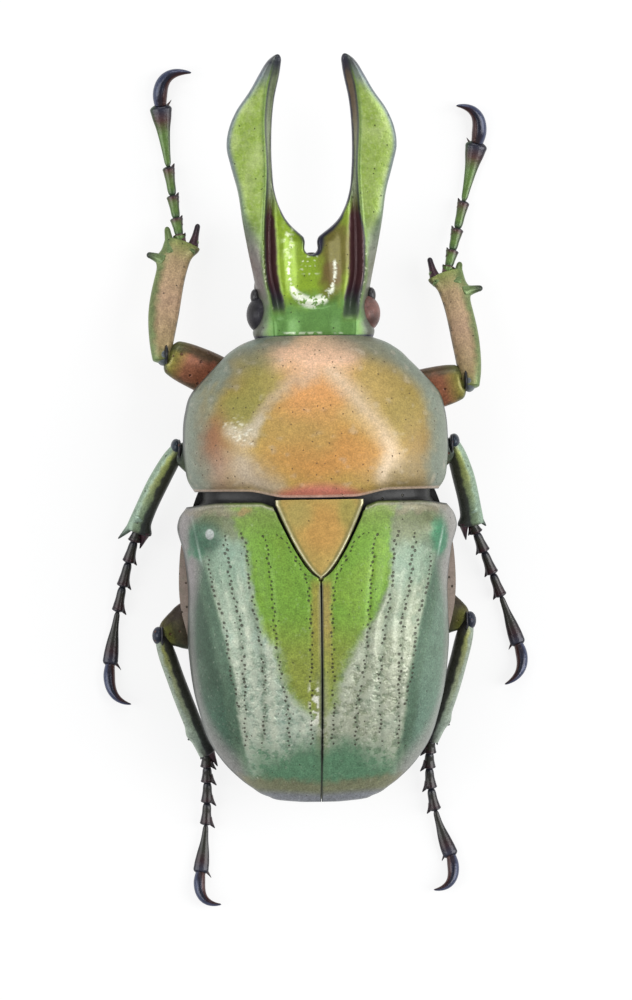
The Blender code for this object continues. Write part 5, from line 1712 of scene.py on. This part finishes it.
def make_tibia(leg):
    line, side, forward = tibia_line(leg)
    spec = LEGS[leg]
    kind = kind_of(leg)
    colours = LEG_COLOURS[kind]
    blunt = BLUNT_TEETH if kind == "front" else 0.0
    first = spec["widths"][0]
    widths = list(zip((0.0, 0.12, 0.35, 0.8, 1.0), (first * 0.75, first, *spec["widths"][1:])))
    shin = limb(leg + "_shin", line, widths, TIBIA_HEIGHTS, side, colours["tibia"], 140, 48, 0.02,
                tibia_relief(spec["teeth"]))
    pieces = [hue_and_shade_sides(shin, colours["outer"], colours["inner"], 0.9, *colours["tibia_edges"])]
    centre_at = path_curve(line)
    width_at = smooth_curve(*widths)
    for share, length, lean in spec["teeth"]:
        place = centre_at(np.array([share]))[0]
        width = float(width_at(share))
        outward = unit(side + forward * lean)
        at_corner = lean > CORNER_LEAN
        base = min(0.26, width * 0.6)
        edge = width - (0.14 if at_corner else 0.0)
        root_point = place + side * (edge - base) - forward * (0.5 if at_corner else 0.0)
        tip = place + side * edge + outward * length
        tip_colour = BLACK if kind != "front" or share < 0.9 else (0.10, 0.15, 0.04)
        pieces.append(spike("tooth", root_point, tip, base, colours["outer"], tip_colour, forward * 0.06,
                            blunt, 26, 18))
    corner = centre_at(np.array([1.0]))[0] - side * (float(width_at(1.0)) - 0.06)
    root_point = corner + side * 0.1 - forward * 0.25
    tip = corner + forward * spec["spur"]
    pieces.append(spike("spur", root_point, tip, 0.19, PLUM, BLACK, -side * 0.02, blunt, 22, 14))
    if kind == "front":
        pieces.append(spike("lobe", corner + side * 0.2 - forward * 0.5, corner + forward * 0.14, 0.22,
                            colours["outer"], colours["outer"], -side * 0.06, 0.17, 22, 18))
    return unite(leg + "_shin", pieces)


print("teeth on the tibiae:", sum(len(spec["teeth"]) for spec in LEGS.values()))

# %% [markdown]
# The foot has five joints. Four are small goblets with a thorn on the inner side, and the
# last is as long as two or three of them and widens towards the claws.

# %% Tarsus
TARSAL_JOINTS = {"front": (0.06, 0.13, 0.165, 0.205, 0.44), "middle": (0.09, 0.16, 0.18, 0.18, 0.39),
                 "hind": (0.12, 0.13, 0.17, 0.18, 0.40)}
LAST_JOINT = 4
FRONT_LAST = ((0.0, 0.12), (0.3, 0.19), (0.6, 0.3), (0.82, 0.43), (0.94, 0.45), (1.0, 0.33))
OTHER_LAST = ((0.0, 0.11), (0.3, 0.16), (0.6, 0.27), (0.82, 0.32), (0.94, 0.31), (1.0, 0.24))


def joint_sizes(kind, i):
    """Widths and heights of a tarsal joint."""
    if i == LAST_JOINT:
        sizes = FRONT_LAST if kind == "front" else OTHER_LAST
        return sizes, [(share, size * 0.6) for share, size in sizes]
    slim = 0.28 - 0.008 * i
    sizes = [(0.0, 0.12), (0.12, 0.165), (0.5, slim * 0.78), (0.8, slim * 0.95), (0.93, slim),
             (1.0, slim * 0.75)]
    return sizes, [(share, size * 0.9) for share, size in sizes]


def joint_stops(kind, i, share_of_foot):
    """Stops of colour along a tarsal joint, redder towards the claws."""
    root_colour, middle_colour, end_colour = LEG_COLOURS[kind]["tarsus"]
    if i == LAST_JOINT:
        return [(0.0, BLACK), (0.08, middle_colour), (0.5, middle_colour), (0.72, end_colour),
                (0.88, (0.03, 0.03, 0.05)), (1.0, BLACK)]
    reddened = np.array(middle_colour) * (1 - share_of_foot) + np.array(end_colour) * share_of_foot
    return [(0.0, BLACK), (0.1, root_colour), (0.3, middle_colour), (0.65, tuple(reddened)),
            (0.84, end_colour), (0.93, BLACK), (1.0, BLACK)]


def make_tarsus(leg):
    at = leg_places(leg)
    kind = kind_of(leg)
    root_colour, _, end_colour = LEG_COLOURS[kind]["tarsus"]
    reach = unit(at["ankle"] - at["knee"])
    line = path_curve(bent_line(at["ankle"] - reach * 0.12, at["toe_bend"], at["toe"], 21))
    inward = np.array((-math.copysign(1.0, at["toe"][0]), 0.0, 0.0))
    thorn = 0.28 if kind == "front" else 0.40
    pieces = []
    start = 0.0
    for i, length in enumerate(TARSAL_JOINTS[kind]):
        end = start + length
        joint_line = line(np.linspace(max(start - 0.012, 0.0), end, 7))
        widths, heights = joint_sizes(kind, i)
        stops = joint_stops(kind, i, start + length / 2)
        joint = limb("joint", joint_line, widths, heights, (1, 0, 0), stops, 40, 24, 0.1)
        pieces.append(hue_and_shade_sides(joint, root_colour, BLACK, 0.6, 0.55, -0.5))
        forward = unit(joint_line[-1] - joint_line[-2])
        if i < LAST_JOINT:
            root_point = joint_line[-1] + inward * 0.06 - forward * 0.3
            tip = joint_line[-1] + inward * thorn + forward * 0.12
            pieces.append(spike("thorn", root_point, tip, 0.15, end_colour, BLACK, forward * 0.02,
                                0.0, 14, 12))
        start = end
    bristle_root = at["toe"] - forward * 0.2 + inward * 0.2
    pieces.append(spike("claw_bristle", bristle_root, bristle_root + inward * 0.3 + forward * 0.34, 0.07,
                        end_colour, BLACK, inward * 0.03, 0.0, 10, 8))
    return unite(leg + "_foot", pieces)


print("tarsal joints:", sum(len(TARSAL_JOINTS[kind_of(leg)]) for leg in LEGS))

# %% [markdown]
# The two claws of a foot lie one above the other, so that only the upper one shows from
# above. The lower one stands on the floor.

# %% Claws
CLAW_FLOOR = 0.26
CLAW_SIZES = ((0.0, 0.2), (0.2, 0.25), (0.4, 0.235), (0.6, 0.185), (0.8, 0.115), (1.0, 0.03))
CLAW_STOPS = [(0.0, (0.03, 0.018, 0.02)), (0.3, (0.012, 0.014, 0.032)), (0.6, (0.010, 0.012, 0.024)),
              (0.8, (0.03, 0.01, 0.014)), (1.0, BLACK)]
LOWER_CLAW = 0.9


def make_claws(leg):
    at = leg_places(leg)
    reach = unit(at["toe"] - at["toe_bend"])
    start = at["toe"] - reach * 0.15
    thick = 1.25 if leg.startswith("front") else 1.0
    sizes = [(share, size * thick) for share, size in CLAW_SIZES]
    small = [(share, size * LOWER_CLAW) for share, size in sizes]
    lower = bent_line(start, at["claw_bend"], at["claw_tip"], 11)
    lower[:, 2] = np.maximum(lower[:, 2], CLAW_FLOOR)
    upper = lower + np.linspace(0.05, 0.5, 11)[:, None] * np.array((0, 0, 1.0))
    outwards = unit(at["claw_bend"] - (start + at["claw_tip"]) / 2)
    pieces = [limb("claw", lower, small, small, outwards, CLAW_STOPS, 50, 18, 0.04),
              limb("claw", upper, sizes, sizes, outwards, CLAW_STOPS, 60, 26, 0.04)]
    pieces = [hue_and_shade_sides(piece, CLAW_BLUE_SHEEN, CLAW_RED, 0.8, 0.1, -0.35) for piece in pieces]
    return unite(leg + "_hooks", pieces)


print("the middle of a lower claw lies", CLAW_FLOOR, "mm above the floor or higher")

# %% [markdown]
# The limbs share the finish of the plates, with fewer pits. The femora are coarsely pitted,
# and the feet and claws are smooth and glossier.

# %% The six legs
leg_finish = cuticle("leg_finish", 0.35, 0.38, 0.12, 0.3, 0.035, 0.25, grain=0.4)
femur_finish = cuticle("femur_finish", 0.35, 0.36, 0.15, 0.34, 0.06, 0.6, grain=0.45,
                       pit_shade=(0.10, 0.035, 0.02, 1.0))
foot_finish = cuticle("foot_finish", 0.1, 0.25, 0.0, 0.4, 0.02, 0.0, grain=0.25)
claw_finish = cuticle("claw_finish", 0.25, 0.22, 0.1, 0.4, 0.02, 0.0, grain=0.2)
for leg in LEGS:
    dress(make_coxa(leg), leg_finish, "underside", leg + "_coxa")
    dress(make_femur(leg), femur_finish, "femora", leg + "_femur")
    dress(make_tibia(leg), leg_finish, "tibiae", leg + "_tibia")
    dress(make_tarsus(leg), foot_finish, "tarsi", leg + "_tarsus")
    dress(make_claws(leg), claw_finish, "claws", leg + "_claws")

# %% [markdown]
# ## The trunk below the wing cases
#
# Thorax and abdomen make one keeled body. Its back is hidden by the elytra and painted
# black, so that it fills the narrow gaps between the plates with painted shade, and a pinkish
# plate of the thorax shows as a wedge beside each elytron. Below, the thorax has a raised keel
# between the legs and the abdomen has five overlapping rings. It is one pulled sphere, and
# grooves part the rings.

# %% Measures of the trunk
TRUNK_FRONT_Y = -0.1
TRUNK_BACK_Y = 11.75
THORAX_BACK_Y = 6.0
STERNITE = 1.12
trunk_reach = smooth_curve(
    (-0.1, 5.0), (0.4, 5.25), (1.5, 5.7), (3.0, 5.9), (4.5, 5.86), (5.9, 5.55), (6.6, 5.4),
    (8.8, 5.05), (10.75, 4.25), (11.75, 3.2))
trunk_under = smooth_curve(
    (-0.1, 3.0), (0.4, 2.9), (1.2, 2.4), (2.0, 1.5), (3.5, 1.3), (5.9, 1.4), (8.0, 1.5),
    (10.0, 1.9), (11.75, 2.5))


def trunk_groove(y):
    """1 at the joints between thorax and abdomen and between the rings of the abdomen."""
    into_ring = np.mod(y - THORAX_BACK_Y, STERNITE)
    return step(0.16, 0.0, into_ring) * (y > THORAX_BACK_Y - 0.01)


print("trunk", TRUNK_BACK_Y - TRUNK_FRONT_Y, "mm long, rings", STERNITE, "mm apart")

# %% The pulled trunk
TRUNK_RINGS = 240
TRUNK_COLUMNS = 160
TRUNK_ROUNDNESS = 2.3


def trunk_shape(along, turn):
    v = np.clip((end_spacing(along, 0.2) - 0.01) / 0.98, 0.0, 1.0)
    y = TRUNK_FRONT_Y + (TRUNK_BACK_Y - TRUNK_FRONT_Y) * v
    cosine = np.cos(2 * math.pi * turn)
    reach, under = trunk_reach(y), trunk_under(y)
    core = np.minimum(elytra_half_width(y) - 0.7, reach - 0.1)
    roof = elytra_top(y) - 0.85
    shelf = elytra_margin(y) - 0.2
    x_top = np.interp(np.abs(cosine), (0.0, 0.88, 1.0), (0.0, 1.0, 1.0)) * core
    x_top = x_top + (reach - core) * step(0.86, 1.0, np.abs(cosine))
    z_top = vault(np.minimum(x_top, core), core, roof, shelf, TRUNK_ROUNDNESS)
    x_under = reach * np.abs(cosine)
    slope = np.clip(x_under / reach, 0.0, 1.0)
    z_under = under + (shelf - 0.1 - under) * slope ** 2.2
    z_under = z_under - 0.22 * bump(x_under, 0.5) * step(1.2, 2.4, y) * step(6.0, 5.2, y)
    z_under = z_under + 0.1 * trunk_groove(y)
    x_under = x_under - 0.06 * trunk_groove(y) * slope
    upper = turn <= 0.5
    closing = closed_ends(along, TRUNK_RINGS, 4.0)
    x = np.where(upper, x_top, x_under) * np.sign(cosine) * closing
    z = np.where(upper, z_top, z_under)
    middle = (roof + under) / 2
    y = y - base_bow(x) * step(1.2, 0.0, y - TRUNK_FRONT_Y)
    return np.column_stack((x, y, middle + (z - middle) * closing))


trunk_mesh, trunk_points, turn = pulled_body("trunk_plates", trunk_shape, TRUNK_RINGS, TRUNK_COLUMNS)

# %% Paint of the trunk
def trunk_layers(points, turn):
    x, y, z = np.abs(points[:, 0]), points[:, 1], points[:, 2]
    slow = wobble(points, 0.9, 31)
    fast = wobble(points, 0.25, 32)
    side_plate = step(0.80, 0.93, x / trunk_reach(y)) * step(0.8, 1.8, y) * step(6.3, 5.7, y)
    seam = side_plate * bump(z - elytra_margin(y) + 0.75 + 0.1 * y, 0.05)
    on_top = (turn <= 0.5) & (x < elytra_half_width(y) - 0.25) | (z > elytra_margin(y) + 0.2)
    return [
        (step(0.0, 0.9, slow) * 0.5, (0.10, 0.14, 0.06)),
        (side_plate, (0.38, 0.30, 0.25)),
        (side_plate * step(0.0, 0.9, fast) * 0.4, (0.27, 0.26, 0.19)),
        (seam, (0.03, 0.025, 0.02)),
        (trunk_groove(y) * 0.8, (0.015, 0.015, 0.012)),
        # Painted shade: the hidden back is black, so the gaps between the plates look dark.
        (on_top.astype(float), (0.006, 0.006, 0.006)),
    ]


trunk_paint = ground(trunk_points, (0.09, 0.085, 0.05))
store_paint(trunk_mesh, lay_all(trunk_paint, trunk_layers(trunk_points, turn)))
body_finish = cuticle("underside_finish", 0.25, 0.42, 0.1, 0.34, 0.05, 0.55, grain=0.2)
dress(as_object(trunk_mesh, 40), body_finish, "underside", "thorax", "abdomen")

# %% [markdown]
# The last back plate, the pygidium, closes the body under the ends of the elytra. It is half
# an egg with its flat side forwards.

# %% The pygidium
PYGIDIUM_Y = 11.8
mesh = ball("tail_plate", (0.0, PYGIDIUM_Y, 2.9), (2.7, 1.05, 1.05), 60, 80)
points = mesh_points(mesh)
points[:, 1] = np.maximum(points[:, 1], PYGIDIUM_Y)
bend(mesh, points)
coppery = step(0.0, 0.9, wobble(points, 0.7, 33)) * 0.6
store_paint(mesh, lay(ground(points, (0.13, 0.14, 0.06)), coppery, (0.17, 0.11, 0.06)))
dress(as_object(mesh, 40), body_finish, "underside", "pygidium")

# %% [markdown]
# ## Feelers and mouth
#
# Below the head, each feeler is a thick first joint, a chain of beads and a club of three
# leaves that lie together like a closed fan. The mouth is a soft plate between two palps,
# fringed with the golden bristles that sweep up pollen.

# %% Feelers
FEELER_BROWN = (0.05, 0.03, 0.02)
BROWN_STOPS = [(0.0, (0.03, 0.02, 0.02)), (0.4, FEELER_BROWN), (1.0, (0.06, 0.035, 0.02))]
SCAPE_LINE = ((2.2, -8.5, 3.5), (2.18, -9.0, 3.05), (2.1, -9.45, 2.85), (1.95, -9.8, 2.78))
SCAPE_SIZES = [(0.0, 0.2), (0.4, 0.3), (0.8, 0.26), (1.0, 0.15)]
BEADS = 6
feeler_finish = cuticle("feeler_finish", 0.15, 0.35, 0.15, 0.25, 0.03, 0.4, grain=0.16)


def on_side(side, line):
    """A line for one side of the body."""
    return [(side * x, y, z) for x, y, z in line]


for word, side in SIDES.items():
    pieces = [limb("scape", on_side(side, SCAPE_LINE), SCAPE_SIZES, SCAPE_SIZES, (0, 0, 1), BROWN_STOPS,
                   40, 20, 0.08)]
    pieces.append(painted_ball("cheek", (side * 2.48, -8.62, 3.85), (0.2, 0.34, 0.3), (0.03, 0.028, 0.03)))
    first, last = np.array((side * 1.95, -9.8, 2.78)), np.array((side * 1.6, -10.4, 2.85))
    for share in np.linspace(0.1, 1.0, BEADS):
        place = first + (last - first) * share
        pieces.append(painted_ball("bead", place, (0.19, 0.13, 0.18), FEELER_BROWN))
    for leaf in (-1, 0, 1):
        centre = last + np.array((side * 0.05 + 0.15 * leaf, -0.6, 0.05))
        pieces.append(painted_ball("leaf", centre, (0.085, 0.66, 0.27), (0.07, 0.045, 0.03), 30, 20))
    dress(unite("feeler_" + word, pieces), feeler_finish, "feelers", "antenna_" + word)

# %% Mouth
PALP_LINE = ((0.45, -9.7, 2.55), (0.68, -10.05, 2.48), (0.66, -10.4, 2.5), (0.6, -10.7, 2.6))
PALP_SIZES = [(0.0, 0.12), (0.3, 0.18), (0.42, 0.13), (0.7, 0.2), (1.0, 0.11)]
BRISTLES = 60
HAIR_STOPS = [(0.0, (0.16, 0.10, 0.04)), (1.0, (0.34, 0.24, 0.10))]
HAIR_SIZES = [(0.0, 0.025), (0.6, 0.018), (1.0, 0.006)]
pieces = [painted_ball("chin", (0.0, -9.35, 2.55), (0.95, 1.15, 0.35), (0.05, 0.045, 0.03), 40, 50)]
for side in SIDES.values():
    pieces.append(limb("palp", on_side(side, PALP_LINE), PALP_SIZES, PALP_SIZES, (0, 0, 1), BROWN_STOPS,
                       40, 20, 0.06))
for i in range(BRISTLES):
    share = i / (BRISTLES - 1) * 2 - 1
    spread = noise.noise(Vector((i * 1.7, 3.0, 1.0)))
    root_point = np.array((0.75 * share, -9.9 + 0.35 * share ** 2, 2.36 + 0.08 * spread))
    tip = root_point + np.array((0.22 * share + 0.1 * spread, -0.34 - 0.1 * spread, -0.1 + 0.08 * spread))
    line = [root_point, (root_point + tip) / 2, tip]
    pieces.append(limb("bristle", line, HAIR_SIZES, HAIR_SIZES, (0, 0, 1), HAIR_STOPS, 6, 5, 0.05))
dress(unite("mouth", pieces), feeler_finish, "feelers", "mouthparts")

# %% [markdown]
# ## Floor, light and camera
#
# The specimen stands on a pale sheet, which glows a little of its own, as a sheet on a light
# table does, so that the shadows stay faint. Two large soft lights stand to the beetle's
# left and right, and a third beyond its head. The camera looks almost straight down through
# a long lens, which keeps the outline true from the claws to the back.

# %% Floor
FLOOR_HALF_SIZE = 0.6
FLOOR_Z = -0.00001
body = bmesh.new()
bmesh.ops.create_grid(body, x_segments=2, y_segments=2, size=FLOOR_HALF_SIZE)
floor = as_object(to_mesh("floor", body))
floor.location.z = FLOOR_Z
paper, _, paper_shader = new_material("paper")
set_sockets(paper_shader, {
    "Base Color": (0.18, 0.18, 0.18, 1.0), "Roughness": 0.9, "Specular IOR Level": 0.1,
    "Emission Color": (1.0, 1.0, 1.0, 1.0), "Emission Strength": 0.82,
})
floor.data.materials.append(paper)
print("floor of", 2 * FLOOR_HALF_SIZE, "m laid")

# %% Lights
world = bpy.data.worlds.new("studio")
bpy.context.scene.world = world
world.use_nodes = True
set_sockets(world.node_tree.nodes["Background"], {"Color": (0.95, 0.97, 1.0, 1.0), "Strength": 0.36})


def softbox(name, place, size, power):
    """A large soft light that looks at the beetle."""
    lamp = bpy.data.lights.new(name, "AREA")
    lamp.shape = "RECTANGLE"
    lamp.size, lamp.size_y = size
    lamp.energy = power
    light = bpy.data.objects.new(name, lamp)
    bpy.context.scene.collection.objects.link(light)
    light.location = place
    light.rotation_euler = (-Vector(place)).to_track_quat("-Z", "Y").to_euler()
    light.visible_camera = False


softbox("light_left", (0.26, 0.0, 0.22), (0.2, 0.34), 0.6)
softbox("light_right", (-0.26, 0.0, 0.22), (0.2, 0.34), 0.95)
softbox("light_head", (0.0, -0.30, 0.24), (0.26, 0.12), 0.28)

# %% Camera
PIXEL = 0.042667
IMAGE_HEIGHT = 1000
LENS = 1000.0
SENSOR = 36.0
TILT = math.radians(2.4)
ROLL = math.radians(0.89)
LOOKS_AT = (0.016, 0.085, 4.0)
distance = PIXEL * IMAGE_HEIGHT * LENS / SENSOR * MM
target = TO_FRAME @ Vector(LOOKS_AT)
back = Vector((math.sin(TILT), 0, math.cos(TILT)))
up = Vector((-math.sin(ROLL), -math.cos(ROLL), 0))
up = (up - back * up.dot(back)).normalized()
right = up.cross(back)
lens = bpy.data.cameras.new("camera")
lens.lens = LENS
lens.sensor_width = SENSOR
lens.clip_start = 0.01
lens.clip_end = 10.0
camera = bpy.data.objects.new("camera", lens)
bpy.context.scene.collection.objects.link(camera)
camera.matrix_world = Matrix((
    (right.x, up.x, back.x, target.x + back.x * distance),
    (right.y, up.y, back.y, target.y + back.y * distance),
    (right.z, up.z, back.z, target.z + back.z * distance),
    (0, 0, 0, 1),
))
bpy.context.scene.camera = camera
bpy.context.scene.view_settings.view_transform = "Standard"
print("camera", round(distance, 3), "m above the beetle")
